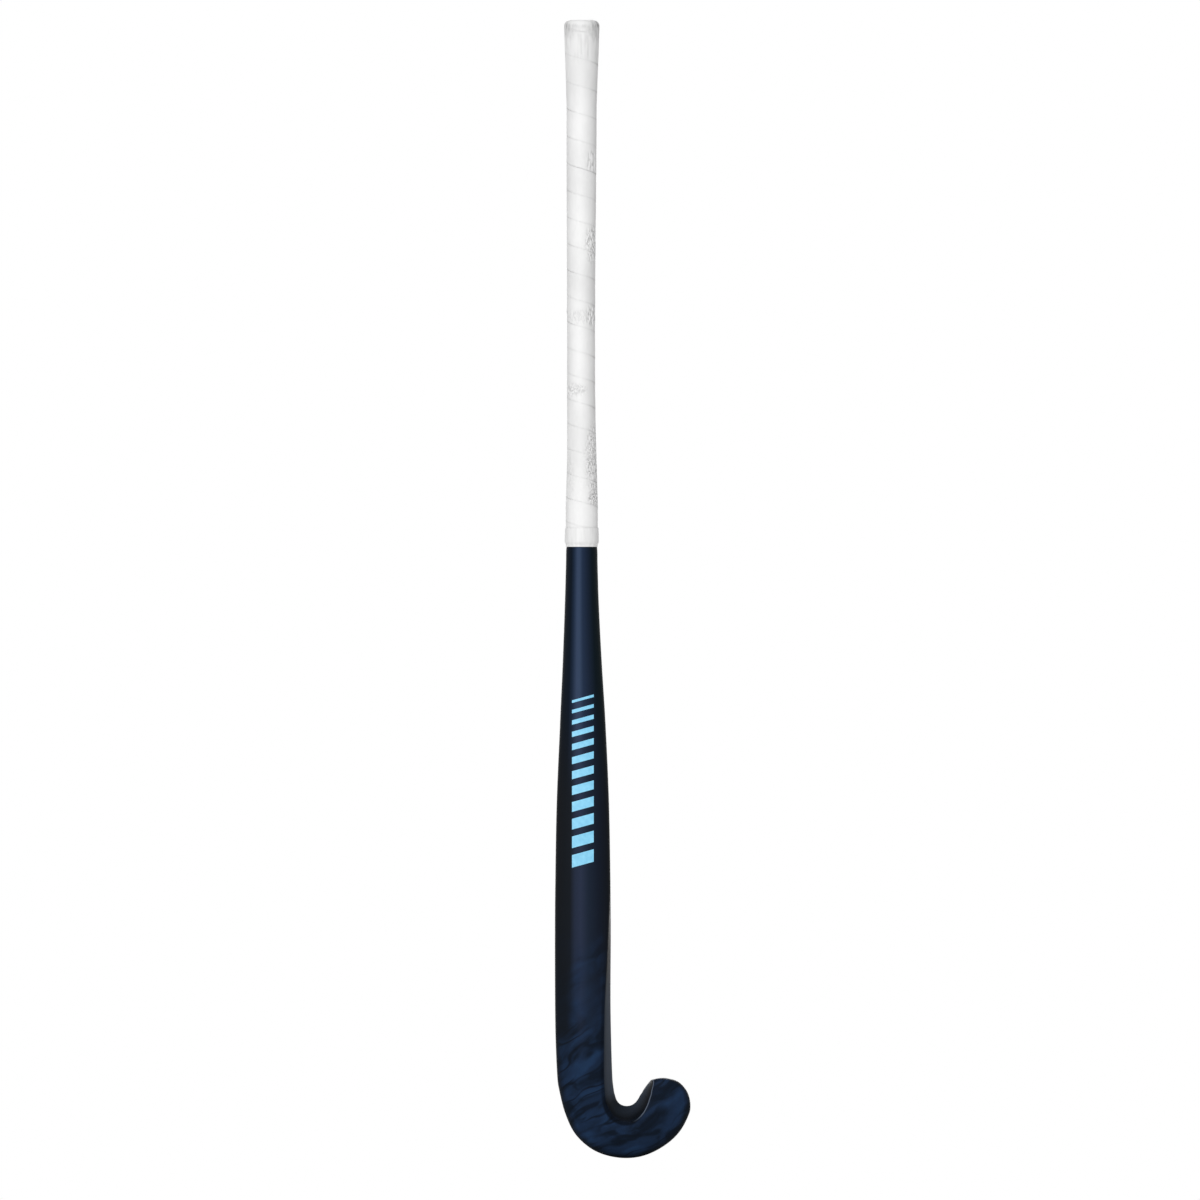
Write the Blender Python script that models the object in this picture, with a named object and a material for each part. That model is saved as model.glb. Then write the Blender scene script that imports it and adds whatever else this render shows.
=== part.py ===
"""Field hockey goalkeeper stick, standing on its head with the toe to +X.

Run it with blender --background --python part.py. Units are metres and +Z is up.
The flat hitting face looks along +Y and the rounded back along -Y.

The stick is a lofted laminate shell. Two rails carry the loft: the outer edge runs down the
heel side of the shaft and round the sole, and the inner edge runs down the other side and
round the crook. A section spans the two rails at each station, and turns from an oval in
the handle to a flat-faced blade section with a creased flank on its inner side.
Every other piece takes its fit from the same sections, so it follows a change of size.
"""

import math
from typing import NamedTuple

import bmesh
import bpy
from mathutils import Vector

MM = 0.001

# Whole stick
STICK_LENGTH = 0.9525
GRIP_LENGTH = 0.441
BOW_DEPTH = 0.020
BOW_TOP = 0.400
BOW_BOTTOM = 0.100
HEAD_SWAY = 0.0009
HEAD_SWAY_TOP = 0.480
HEAD_SWAY_BOTTOM = 0.340
HANDLE_SWAY = 0.0006
HANDLE_SWAY_TOP = 0.950
HANDLE_SWAY_HIGH = 0.700
HANDLE_SWAY_LOW = 0.660
HANDLE_SWAY_BOTTOM = 0.560
FIT_GAP = 0.0003
WELD = 0.000001

# Handle, measured on the bare laminate under the grip
HANDLE_WIDTH = 0.0224
HANDLE_DEPTH = 0.0266
WAIST_WIDTH = 0.0208
WAIST_DEPTH = 0.0256
GRIP_END_WIDTH = 0.0243
GRIP_END_DEPTH = 0.0258
SHAFT_WALL = 0.0024

# Neck, from the shoulder under the grip down to the blade
NECK_WIDTH = 0.0262
NECK_DEPTH = 0.0262
SHOULDER_DROP = 0.007
BLADE_HEIGHT = 0.190

# Blade
BLADE_WIDTH = 0.0469
FACE_DEPTH = 0.0100
BLADE_CROWN = 0.0125
BLADE_TOP_FLANK = 0.0020
EDGE_ROUND = 0.0030
EDGE_SHARE = 0.45
LEAST_CREASE = 0.05
CROWN_POWER = 2.6
BLADE_WALL = 0.0028

# Hook, measured from the centre of the crook
CROOK_RADIUS = 0.0123
HEAD_WIDTH = 0.0437
SOLE_DROP = 0.0006
CROOK_FLARE = 0.00265
CROOK_PULL = 0.0007
HEEL_CUT = 0.0037
TIP_RADIUS = 0.0218
HEAD_CROWN = 0.0115
HEAD_WALL = 0.0040
CAVITY_END_TURN = 176.0

# Foam core, web and handle plug inside the shell
CORE_TOP = 0.124
WEB_TOP = 0.500
WEB_THICKNESS = 0.0020
PLUG_LENGTH = 0.100

# Butt cap
CAP_CROWN = 0.0032
CAP_RIM_OVERHANG = 0.00355
CAP_RIM_ROUND = 0.0048
CAP_RIM_HEIGHT = 0.0035
CAP_FLAT_INSET = 0.0040
CAP_DOME = 0.0004
CAP_BOSS_LENGTH = 0.008
SKIRT_LENGTH = 0.042
SKIRT_EDGE = 0.0005
SKIRT_ROOT = 0.0020

# Grip tape, wound from the butt down with each turn lapping over the next one
TAPE_TOP_PITCH = 0.0234
TAPE_END_PITCH = 0.0207
TAPE_LAP = 0.0030
TAPE_START_WIDTH = 0.0050
TAPE_BODY = 0.0010
TAPE_LIP = 0.00036
TAPE_LIP_GAP = 0.00048
TAPE_UPPER_LIP = 0.00038
TAPE_SKIVE = 0.0009
TAPE_LIP_MARGIN = 0.0002
TAPE_BED_MARGIN = 0.0003
TAPE_START_ANGLE = 311.0
TAPE_TAPER_TURN = 0.15
TAPE_COVER_TURN = 0.80
TAPE_COVER_RUN = 0.15
TAPE_LAST_TURN = 0.90
TAPE_LAST_RUN = 0.30
POINTS_PER_TURN = 24
GAP_SAMPLES = 6

# Finishing tape over the lower end of the grip
FINISH_THICKNESS = 0.0004
FINISH_ON_GRIP = 0.0115
FINISH_ON_SHAFT = 0.0045
FINISH_EDGE = 0.0002
FINISH_CHAMFER = 0.0008
FINISH_FALL = 0.0018

# Counts of points along the parts of a section and round the fitted rings
FACE_STEPS = 6
ROUND_STEPS = 3
SIDE_STEPS = 2
CROWN_STEPS = 13
RING_STEPS = 32
RINGS_PER_STATION = 2
CAP_STEPS = 4
SMOOTH_ANGLE = 32.0

# Shape of the handle: share of the way from butt to grip end, share of waist, share of grip end
HANDLE_SHAPE = (
    (0.23, 0.0, 0.0),
    (0.59, 1.0, 0.0),
    (0.82, 0.75, 0.15),
    (0.93, 0.0, 0.95),
)

# Shape of the neck: share of the way down, share of the widening, share of the blade section
NECK_SHAPE = (
    (0.03, 0.015, 0.0),
    (0.14, 0.11, 0.15),
    (0.29, 0.31, 0.50),
    (0.45, 0.57, 0.85),
    (0.66, 0.85, 1.0),
    (0.87, 0.97, 1.0),
)

# Blade above the hook: height over the crook's centre in millimetres, share of the heel cut,
# share of the crook flare, and flank width in millimetres
BLADE_SHAPE = (
    (75.0, 0.03, -0.10, 4.6),
    (43.0, 0.16, 0.10, 5.8),
    (10.0, 0.57, 0.51, 7.0),
)

# Hook: turn in degrees, how far the crook and the sole leave their round in millimetres,
# share of the way to the toe's tip on each rail, crown over the head's own in millimetres,
# and flank width in millimetres
HOOK_SHAPE = (
    (0.0, -0.6, 1.5, 0.0, 0.0, 0.7, 7.6),
    (20.0, -0.8, -0.1, 0.0, 0.0, 0.5, 8.5),
    (40.0, 0.0, 1.25, 0.0, 0.0, 0.3, 10.4),
    (60.0, 0.8, 1.65, 0.0, 0.0, 0.1, 12.4),
    (80.0, 0.8, 0.95, 0.0, 0.0, 0.0, 13.8),
    (100.0, 0.4, 0.4, 0.0, 0.0, -0.2, 13.4),
    (120.0, -0.4, -0.5, 0.0, 0.0, -0.4, 11.3),
    (140.0, -1.2, -0.6, 0.0, 0.0, -0.5, 9.4),
    (160.0, -1.3, -0.15, 0.0, 0.030, -0.7, 8.2),
    (170.0, -0.5, -0.1, 0.0, 0.088, -0.8, 7.6),
    (180.0, 0.0, 0.0, 0.04, 0.204, -1.0, 7.0),
    (190.0, 0.0, 0.0, 0.24, 0.39, -1.5, 6.4),
    (197.4, 0.0, 0.0, 0.49, 0.635, -2.5, 5.2),
    (201.5, 0.0, 0.0, 0.70, 0.80, -4.5, 3.4),
    (203.9, 0.0, 0.0, 0.88, 0.97, -8.5, 0.6),
)

# Colours and finishes: red, green, blue, roughness, metallic
LACQUER = (0.012, 0.018, 0.040, 0.32, 0.0)
WEB_LAMINATE = (0.020, 0.020, 0.022, 0.55, 0.0)
CORE_FOAM = (0.55, 0.42, 0.22, 0.90, 0.0)
PLUG_FOAM = (0.60, 0.50, 0.30, 0.90, 0.0)
CAP_RUBBER = (0.78, 0.78, 0.77, 0.55, 0.0)
GRIP_FILM = (0.86, 0.86, 0.86, 0.50, 0.0)
FINISH_FILM = (0.90, 0.90, 0.90, 0.20, 0.0)

HANDLE_TOP = STICK_LENGTH - CAP_CROWN - FIT_GAP
GRIP_END = STICK_LENGTH - GRIP_LENGTH + FINISH_ON_SHAFT
SHOULDER = GRIP_END - SHOULDER_DROP
SOLE_RADIUS = CROOK_RADIUS + HEAD_WIDTH
HOOK_X = BLADE_WIDTH / 2 + CROOK_FLARE + CROOK_RADIUS - CROOK_PULL
HOOK_Z = SOLE_RADIUS + SOLE_DROP
CAP_FLANGE = HANDLE_TOP - CAP_RIM_HEIGHT
SKIRT_BOTTOM = CAP_FLANGE - SKIRT_LENGTH


class Station(NamedTuple):
    """One section of the stick: its two edge points and the sizes between them."""

    outer_x: float
    outer_z: float
    inner_x: float
    inner_z: float
    crown: float
    face: float
    blade: float
    flank: float
    wall: float


def mix(first, second, share):
    """Returns the value at a share of the way from the first to the second."""
    return first + (second - first) * share


def clamp(value, low, high):
    """Returns the value, kept between two limits."""
    return max(low, min(high, value))


def ease(value):
    """Returns a smooth step from 0 to 1 as the value goes from 0 to 1."""
    value = clamp(value, 0.0, 1.0)
    return value * value * (3.0 - 2.0 * value)


def level_station(height, width, crown, face, blade, wall):
    """Returns a level section that is even about the shaft's axis, without a flank."""
    half = width / 2
    return Station(-half, height, half, height, crown, face, blade, 0.0, wall)


def oval_station(height, width, depth):
    """Returns a level section of the handle or the neck, an oval."""
    return level_station(height, width, depth / 2, depth / 2, 0.0, SHAFT_WALL)


def handle_stations():
    """Returns the sections from the butt down to the shoulder under the grip."""
    rows = [oval_station(HANDLE_TOP, HANDLE_WIDTH, HANDLE_DEPTH)]
    for share, waist, end in HANDLE_SHAPE:
        height = mix(HANDLE_TOP, GRIP_END, share)
        width = mix(mix(HANDLE_WIDTH, WAIST_WIDTH, waist), GRIP_END_WIDTH, end)
        depth = mix(mix(HANDLE_DEPTH, WAIST_DEPTH, waist), GRIP_END_DEPTH, end)
        rows.append(oval_station(height, width, depth))
    rows.append(oval_station(GRIP_END, GRIP_END_WIDTH, GRIP_END_DEPTH))
    return rows


def neck_stations():
    """Returns the sections from the shoulder to the top of the blade."""
    rows = [oval_station(SHOULDER, NECK_WIDTH, NECK_DEPTH)]
    for share, widening, blade in NECK_SHAPE:
        height = mix(SHOULDER, BLADE_HEIGHT, share)
        width = mix(NECK_WIDTH, BLADE_WIDTH, widening)
        crown = mix(NECK_DEPTH / 2, BLADE_CROWN, blade)
        face = mix(NECK_DEPTH / 2, FACE_DEPTH, blade)
        wall = mix(SHAFT_WALL, BLADE_WALL, widening)
        rows.append(level_station(height, width, crown, face, blade, wall))
    return rows


def blade_stations():
    """Returns the level sections from the blade's top down to the crook's centre."""
    half = BLADE_WIDTH / 2
    top = level_station(BLADE_HEIGHT, BLADE_WIDTH, BLADE_CROWN, FACE_DEPTH, 1.0, BLADE_WALL)
    rows = [top._replace(flank=BLADE_TOP_FLANK)]
    for over, cut, flare, flank in BLADE_SHAPE:
        height = HOOK_Z + over * MM
        outer = -half + HEEL_CUT * cut
        inner = half + CROOK_FLARE * flare
        wall = mix(BLADE_WALL, HEAD_WALL, cut)
        rows.append(Station(outer, height, inner, height, BLADE_CROWN, FACE_DEPTH, 1.0, flank * MM, wall))
    return rows


def hook_stations():
    """Returns the sections that turn about the crook's centre, from the shaft round to the toe."""
    rows = []
    for turn, crook, sole, inner_tip, outer_tip, crown, flank in HOOK_SHAPE:
        inner = mix(CROOK_RADIUS + crook * MM, TIP_RADIUS, inner_tip)
        outer = mix(SOLE_RADIUS + sole * MM, TIP_RADIUS, outer_tip)
        angle = math.radians(180.0 + turn)
        along_x = math.cos(angle)
        along_z = math.sin(angle)
        rows.append(
            Station(
                HOOK_X + outer * along_x,
                HOOK_Z + outer * along_z,
                HOOK_X + inner * along_x,
                HOOK_Z + inner * along_z,
                HEAD_CROWN + crown * MM,
                FACE_DEPTH,
                1.0,
                flank * MM,
                HEAD_WALL,
            )
        )
    return rows


class Loft:
    """The stick's sections as one smooth run from the butt to the toe's tip.

    Attributes:
        stations: the sections given by hand, in order.
        places: the distance of each station from the butt, along the middle of the stick.
    """

    def __init__(self):
        self.stations = handle_stations() + neck_stations() + blade_stations() + hook_stations()
        self.places = [0.0]
        for before, after in zip(self.stations, self.stations[1:]):
            step_x = (after.outer_x + after.inner_x - before.outer_x - before.inner_x) / 2
            step_z = (after.outer_z + after.inner_z - before.outer_z - before.inner_z) / 2
            self.places.append(self.places[-1] + math.hypot(step_x, step_z))
        self.slopes = [self._slope(index) for index in range(len(self.stations))]

    def _slope(self, index):
        """Returns how fast each size changes at a station, from its two neighbours."""
        last = len(self.stations) - 1
        low = max(index - 1, 0)
        high = min(index + 1, last)
        run = self.places[high] - self.places[low]
        return [(b - a) / run for a, b in zip(self.stations[low], self.stations[high])]

    def at(self, place):
        """Returns the section at a distance from the butt."""
        index = 0
        while index < len(self.places) - 2 and self.places[index + 1] < place:
            index += 1
        run = self.places[index + 1] - self.places[index]
        t = clamp((place - self.places[index]) / run, 0.0, 1.0)
        start = (1.0 + 2.0 * t) * (1.0 - t) ** 2
        start_slope = t * (1.0 - t) ** 2 * run
        end = t * t * (3.0 - 2.0 * t)
        end_slope = t * t * (t - 1.0) * run
        values = []
        for a, b, c, d in zip(
            self.stations[index], self.stations[index + 1], self.slopes[index], self.slopes[index + 1]
        ):
            values.append(a * start + c * start_slope + b * end + d * end_slope)
        station = Station(*values)
        return station._replace(blade=clamp(station.blade, 0.0, 1.0), flank=max(station.flank, 0.0))

    def at_height(self, height):
        """Returns the section at a height on the straight part of the stick."""
        return self.at(HANDLE_TOP - height)

    def place_of_turn(self, turn):
        """Returns the distance from the butt at which the hook has turned so far."""
        first = len(self.stations) - len(HOOK_SHAPE)
        for index in range(len(HOOK_SHAPE) - 1):
            low = HOOK_SHAPE[index][0]
            high = HOOK_SHAPE[index + 1][0]
            if low <= turn <= high:
                share = (turn - low) / (high - low)
                return mix(self.places[first + index], self.places[first + index + 1], share)
        return self.places[-1]

    def between(self, start, end):
        """Returns the distances at which the shell has rings, with the two ends given."""
        rows = [start]
        for low, high in zip(self.places, self.places[1:]):
            for step in range(RINGS_PER_STATION):
                place = mix(low, high, step / RINGS_PER_STATION)
                if start + FIT_GAP < place < end - FIT_GAP:
                    rows.append(place)
        rows.append(end)
        return rows


LOFT = Loft()


def bow(height):
    """Returns how far the stick's middle lies toward the face at a height.

    The handle is straight, the bend is one parabola, and the head is straight again. The
    bend is worked out from the bow as the game's rules measure it: the greatest distance
    between the stick and a line from its head to its butt.
    """
    bend = (BOW_TOP**2 - BOW_BOTTOM**2) / 2
    below_top = bend / STICK_LENGTH
    peak = BOW_TOP - below_top
    curve = BOW_DEPTH / (bend * (1.0 - peak / STICK_LENGTH) - below_top**2 / 2)
    if height >= BOW_TOP:
        return 0.0
    if height >= BOW_BOTTOM:
        return curve * (BOW_TOP - height) ** 2 / 2
    straight = BOW_TOP - BOW_BOTTOM
    return curve * straight * (straight / 2 + BOW_BOTTOM - height)


def sway(height):
    """Returns how far the stick's middle lies toward the toe side at a height."""
    head = ease((HEAD_SWAY_TOP - height) / (HEAD_SWAY_TOP - HEAD_SWAY_BOTTOM))
    above = ease((HANDLE_SWAY_TOP - height) / (HANDLE_SWAY_TOP - HANDLE_SWAY_HIGH))
    below = ease((height - HANDLE_SWAY_BOTTOM) / (HANDLE_SWAY_LOW - HANDLE_SWAY_BOTTOM))
    return HEAD_SWAY * head - HANDLE_SWAY * above * below


def bowed(x, y, z):
    """Returns a point of the straight stick, moved to where the bow and the sway take it."""
    return Vector((x + sway(z), y + bow(z), z))


def blade_outline(half, face, crown, flank):
    """Returns the blade section's points (across, depth), from the face's inner end round.

    The face is flat, its edges are rounded, the back is crowned, and the flank cuts the
    crown's inner side off along a crease.
    """
    edge = min(EDGE_ROUND, EDGE_SHARE * half, EDGE_SHARE * face)
    crease = math.acos(clamp((half - flank) / half, LEAST_CREASE, 1.0) ** (CROWN_POWER / 2))
    points = []
    for step in range(FACE_STEPS + 1):
        points.append((mix(half - edge, edge - half, step / FACE_STEPS), face))
    for step in range(1, ROUND_STEPS + 1):
        angle = math.pi / 2 * step / ROUND_STEPS
        points.append((edge - half - edge * math.sin(angle), face - edge + edge * math.cos(angle)))
    for step in range(1, SIDE_STEPS):
        points.append((-half, mix(face - edge, 0.0, step / SIDE_STEPS)))
    for step in range(CROWN_STEPS + 1):
        angle = mix(math.pi, crease, step / CROWN_STEPS)
        across = abs(math.cos(angle)) ** (2 / CROWN_POWER)
        depth = abs(math.sin(angle)) ** (2 / CROWN_POWER)
        points.append((math.copysign(half * across, math.cos(angle)), -crown * depth))
    crease_across, crease_depth = points[-1]
    for step in range(1, SIDE_STEPS):
        share = step / SIDE_STEPS
        points.append((mix(crease_across, half, share), mix(crease_depth, face - edge, share)))
    for step in range(ROUND_STEPS):
        angle = math.pi / 2 * step / ROUND_STEPS
        points.append((half - edge + edge * math.cos(angle), face - edge + edge * math.sin(angle)))
    return points


def section_ring(place, inset):
    """Returns the ring of points of the stick's section, moved inward by an inset."""
    station = LOFT.at(place)
    along = Vector((station.inner_x - station.outer_x, 0.0, station.inner_z - station.outer_z))
    middle = Vector((station.inner_x + station.outer_x, 0.0, station.inner_z + station.outer_z)) / 2
    half = along.length / 2 - inset
    along.normalize()
    face = station.face - inset
    crown = station.crown - inset
    ring = []
    for across, depth in blade_outline(half, face, crown, station.flank):
        deep = face if depth > 0 else crown
        angle = math.atan2(depth / deep, across / half)
        across = mix(half * math.cos(angle), across, station.blade)
        depth = mix(deep * math.sin(angle), depth, station.blade)
        point = middle + along * across
        ring.append(bowed(point.x, depth, point.z))
    return ring


def handle_point(angle, height, offset):
    """Returns a point of the oval handle at an angle, moved outward by an offset."""
    station = LOFT.at_height(height)
    half = station.inner_x
    deep = station.face
    normal = Vector((math.cos(angle) / half, math.sin(angle) / deep)).normalized()
    x = half * math.cos(angle) + normal.x * offset
    y = deep * math.sin(angle) + normal.y * offset
    return bowed(x, y, height)


def handle_ring(height, offset):
    """Returns a level ring round the handle, at an offset from the bare laminate."""
    return [handle_point(2 * math.pi * step / RING_STEPS, height, offset) for step in range(RING_STEPS)]


def ring_edges(mesh, ring):
    """Returns the edges that join a ring's vertices in order."""
    return [mesh.edges.get((vert, ring[(index + 1) % len(ring)])) for index, vert in enumerate(ring)]


def start_ring(mesh, points):
    """Makes a circle with a vertex for each point, and moves it onto the points."""
    ring = bmesh.ops.create_circle(mesh, cap_ends=False, segments=len(points), radius=1.0)["verts"]
    for vert, point in zip(ring, points):
        vert.co = point
    return ring


def extrude_ring(mesh, ring, points):
    """Extrudes a ring and moves the new one onto the points. Returns the new ring."""
    made = bmesh.ops.extrude_edge_only(mesh, edges=ring_edges(mesh, ring))
    fresh = {item for item in made["geom"] if isinstance(item, bmesh.types.BMVert)}
    following = []
    for vert in ring:
        others = [edge.other_vert(vert) for edge in vert.link_edges]
        following.append(next(other for other in others if other in fresh))
    for vert, point in zip(following, points):
        vert.co = point
    return following


def loft_rings(mesh, rings):
    """Lofts a run of rings. Returns the first and the last ring's vertices."""
    first = start_ring(mesh, rings[0])
    last = first
    for points in rings[1:]:
        last = extrude_ring(mesh, last, points)
    return first, last


def close_ring(mesh, ring):
    """Closes a ring with one flat face."""
    bmesh.ops.contextual_create(mesh, geom=ring_edges(mesh, ring))


def loft_closed(mesh, rings):
    """Lofts a run of rings that comes back to its first one."""
    loft_rings(mesh, rings + rings[:1])
    bmesh.ops.remove_doubles(mesh, verts=mesh.verts[:], dist=WELD)


def material(name, finish):
    """Returns a Principled material from red, green, blue, roughness and metallic."""
    red, green, blue, roughness, metallic = finish
    made = bpy.data.materials.new(name)
    made.use_nodes = True
    shader = made.node_tree.nodes["Principled BSDF"]
    shader.inputs["Base Color"].default_value = (red, green, blue, 1.0)
    shader.inputs["Roughness"].default_value = roughness
    shader.inputs["Metallic"].default_value = metallic
    made.diffuse_color = (red, green, blue, 1.0)
    return made


def finish_piece(name, mesh, height, finish, parent):
    """Turns a mesh into a named piece whose origin lies on the stick's middle at a height."""
    bmesh.ops.recalc_face_normals(mesh, faces=mesh.faces[:])
    origin = bowed(0.0, 0.0, height)
    bmesh.ops.translate(mesh, verts=mesh.verts[:], vec=-origin)
    for face in mesh.faces:
        face.smooth = True
    for edge in mesh.edges:
        edge.smooth = edge.calc_face_angle(0.0) < math.radians(SMOOTH_ANGLE)
    data = bpy.data.meshes.new(name)
    mesh.to_mesh(data)
    mesh.free()
    data.materials.append(material(name + "_finish", finish))
    piece = bpy.data.objects.new(name, data)
    piece.location = origin
    piece.parent = parent
    bpy.context.scene.collection.objects.link(piece)
    return piece


def build_shell(parent):
    """The hollow laminate from the butt to the toe, open at the butt."""
    mesh = bmesh.new()
    outside = LOFT.between(0.0, LOFT.places[-1])
    inside = LOFT.between(0.0, LOFT.place_of_turn(CAVITY_END_TURN))
    rings = [section_ring(place, 0.0) for place in reversed(outside)]
    rings += [section_ring(place, LOFT.at(place).wall) for place in inside]
    tip, cavity_end = loft_rings(mesh, rings)
    close_ring(mesh, tip)
    close_ring(mesh, cavity_end)
    return finish_piece("stick_shell", mesh, 0.0, LACQUER, parent)


def solid_inside(start, end):
    """Returns a solid that fills the shell between two distances from the butt."""
    mesh = bmesh.new()
    rings = [section_ring(place, LOFT.at(place).wall + FIT_GAP) for place in LOFT.between(start, end)]
    first, last = loft_rings(mesh, rings)
    close_ring(mesh, first)
    close_ring(mesh, last)
    return mesh


def build_core(parent):
    """The foam core that fills the head and the lowest part of the blade."""
    end = LOFT.place_of_turn(CAVITY_END_TURN) - FIT_GAP
    return finish_piece("head_core", solid_inside(HANDLE_TOP - CORE_TOP, end), 0.0, CORE_FOAM, parent)


def build_plug(parent):
    """The foam plug that closes the top of the handle, under the cap's boss."""
    start = CAP_BOSS_LENGTH + FIT_GAP
    height = HANDLE_TOP - start - PLUG_LENGTH
    return finish_piece("handle_plug", solid_inside(start, start + PLUG_LENGTH), height, PLUG_FOAM, parent)


def build_web(parent):
    """The web between the stick's two chambers, from the head core up to the neck."""
    mesh = bmesh.new()
    rings = []
    for place in LOFT.between(HANDLE_TOP - WEB_TOP, HANDLE_TOP - CORE_TOP - FIT_GAP):
        station = LOFT.at(place)
        height = HANDLE_TOP - place
        middle = (station.inner_x + station.outer_x) / 2
        face = station.face - station.wall - FIT_GAP
        back = station.crown - station.wall - FIT_GAP
        half = WEB_THICKNESS / 2
        corners = ((half, face), (-half, face), (-half, -back), (half, -back))
        rings.append([bowed(middle + across, depth, height) for across, depth in corners])
    first, last = loft_rings(mesh, rings)
    close_ring(mesh, first)
    close_ring(mesh, last)
    return finish_piece("centre_web", mesh, CORE_TOP, WEB_LAMINATE, parent)


def skirt_thickness(height):
    """Returns the thickness of the cap's skirt, which flares from its edge to the cap."""
    return mix(SKIRT_EDGE, SKIRT_ROOT, (height - SKIRT_BOTTOM) / SKIRT_LENGTH)


def build_cap(parent):
    """The moulded butt cap: a rounded rim, a flared skirt round the handle and a boss inside."""
    mesh = bmesh.new()
    profile = [(-CAP_FLAT_INSET, STICK_LENGTH)]
    profile.append((CAP_RIM_OVERHANG - CAP_RIM_ROUND, STICK_LENGTH - CAP_DOME))
    for step in range(1, CAP_STEPS + 1):
        angle = math.pi / 2 * step / CAP_STEPS
        across = CAP_RIM_OVERHANG - CAP_RIM_ROUND + CAP_RIM_ROUND * math.sin(angle)
        profile.append((across, STICK_LENGTH - CAP_DOME - CAP_RIM_ROUND * (1.0 - math.cos(angle))))
    profile.append((CAP_RIM_OVERHANG, CAP_FLANGE))
    for step in range(CAP_STEPS + 1):
        height = mix(CAP_FLANGE, SKIRT_BOTTOM, step / CAP_STEPS)
        profile.append((FIT_GAP + skirt_thickness(height), height))
    for step in range(CAP_STEPS + 1):
        profile.append((FIT_GAP, mix(SKIRT_BOTTOM, CAP_FLANGE, step / CAP_STEPS)))
    profile.append((FIT_GAP, HANDLE_TOP + FIT_GAP))
    profile.append((-SHAFT_WALL - FIT_GAP, HANDLE_TOP + FIT_GAP))
    profile.append((-SHAFT_WALL - FIT_GAP, HANDLE_TOP - CAP_BOSS_LENGTH))
    rings = [cap_ring(offset, height) for offset, height in profile]
    first, last = loft_rings(mesh, rings)
    close_ring(mesh, first)
    close_ring(mesh, last)
    return finish_piece("butt_cap", mesh, HANDLE_TOP, CAP_RUBBER, parent)


def cap_ring(offset, height):
    """Returns a ring of the cap, level, from the handle's outline where that ends."""
    ring = handle_ring(min(height, HANDLE_TOP), offset)
    return [Vector((point.x, point.y, height)) for point in ring]


def tape_seat(height):
    """Returns how far the tape's bed stands off the laminate: on the skirt, and draped below it."""
    return max(FIT_GAP + skirt_thickness(height), 0.0)


class Winding:
    """The grip tape's winding: where its two edges run, turn by turn.

    Attributes:
        top: height of the level edge at the butt.
        bottom: height of the level edge at the grip's end.
        turns: turns from the tape's start to its end.
    """

    def __init__(self):
        self.top = CAP_FLANGE - FIT_GAP
        self.bottom = GRIP_END
        run = self.top - TAPE_START_WIDTH - self.bottom
        mean = (TAPE_TOP_PITCH + TAPE_END_PITCH) / 2
        self.full = run / mean
        self.turns = self.full + 1.0 - (TAPE_START_WIDTH - TAPE_LAP) / TAPE_END_PITCH

    def free_edge(self, turn):
        """Returns the lower edge's height if the winding went on without an end."""
        change = (TAPE_TOP_PITCH - TAPE_END_PITCH) / self.full
        return self.top - TAPE_START_WIDTH - (TAPE_TOP_PITCH - change * turn / 2) * turn

    def lower_edge(self, turn):
        """Returns the height of the lower edge, which laps over the next turn."""
        return max(self.free_edge(turn), self.bottom)

    def upper_edge(self, turn):
        """Returns the height of the upper edge, level at first and then under the turn above."""
        if turn >= 1.0:
            return self.free_edge(turn - 1.0) + TAPE_LAP
        return self.top - (TAPE_START_WIDTH - TAPE_LAP) * ease((turn - 1.0) / TAPE_TAPER_TURN + 1.0)

    def profile(self, turn):
        """Returns the tape's section as (height, distance off its bed), from the upper edge out."""
        upper = self.upper_edge(turn)
        lower = self.lower_edge(turn)
        covered = ease((turn - TAPE_COVER_TURN) / TAPE_COVER_RUN)
        lip = mix(TAPE_BODY, TAPE_LIP, covered)
        lapping = 1.0 - ease((turn - self.turns + TAPE_LAST_TURN) / TAPE_LAST_RUN)
        under = (TAPE_LIP + TAPE_LIP_GAP) * lapping
        ridge = mix(TAPE_BODY, TAPE_LIP + TAPE_LIP_GAP + TAPE_UPPER_LIP, lapping)
        lip_end = upper - TAPE_LAP - TAPE_LIP_MARGIN
        bed_end = lower + TAPE_LAP + TAPE_BED_MARGIN
        return (
            (upper, 0.0),
            (upper, lip),
            (lip_end, lip),
            (lip_end - TAPE_SKIVE, TAPE_BODY),
            (lower, ridge),
            (lower, under),
            (bed_end, under),
            (bed_end + TAPE_SKIVE, 0.0),
        )

    def ring(self, index):
        """Returns the ring of points of the tape's section at a step of the winding."""
        turn = index / POINTS_PER_TURN
        angle = math.radians(TAPE_START_ANGLE) + 2 * math.pi * turn
        points = []
        for height, off in self.profile(turn):
            points.append(handle_point(angle, height, tape_seat(height) + FIT_GAP + off))
        return points

    def least_gap(self, rings):
        """Returns the least distance between a turn and the one below it, on sampled points."""
        least = math.inf
        for ring, below in zip(rings, rings[POINTS_PER_TURN:]):
            lower_lip = sampled(ring[4:8])
            upper_lip = sampled(below[0:4])
            for point in lower_lip:
                least = min(least, min((point - other).length for other in upper_lip))
        return least


def sampled(corners):
    """Returns points along the lines between the corners."""
    points = [corners[-1]]
    for start, end in zip(corners, corners[1:]):
        for step in range(GAP_SAMPLES):
            points.append(start.lerp(end, step / GAP_SAMPLES))
    return points


def build_grip_tape(parent):
    """The grip tape, one unbroken band wound down the handle with lapped turns."""
    winding = Winding()
    steps = int(winding.turns * POINTS_PER_TURN)
    rings = [winding.ring(index) for index in range(steps + 1)]
    print("grip tape least gap to itself: %.2f mm" % (winding.least_gap(rings) / MM))
    mesh = bmesh.new()
    first, last = loft_rings(mesh, rings)
    close_ring(mesh, first)
    close_ring(mesh, last)
    return finish_piece("grip_tape", mesh, GRIP_END, GRIP_FILM, parent)


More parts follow.
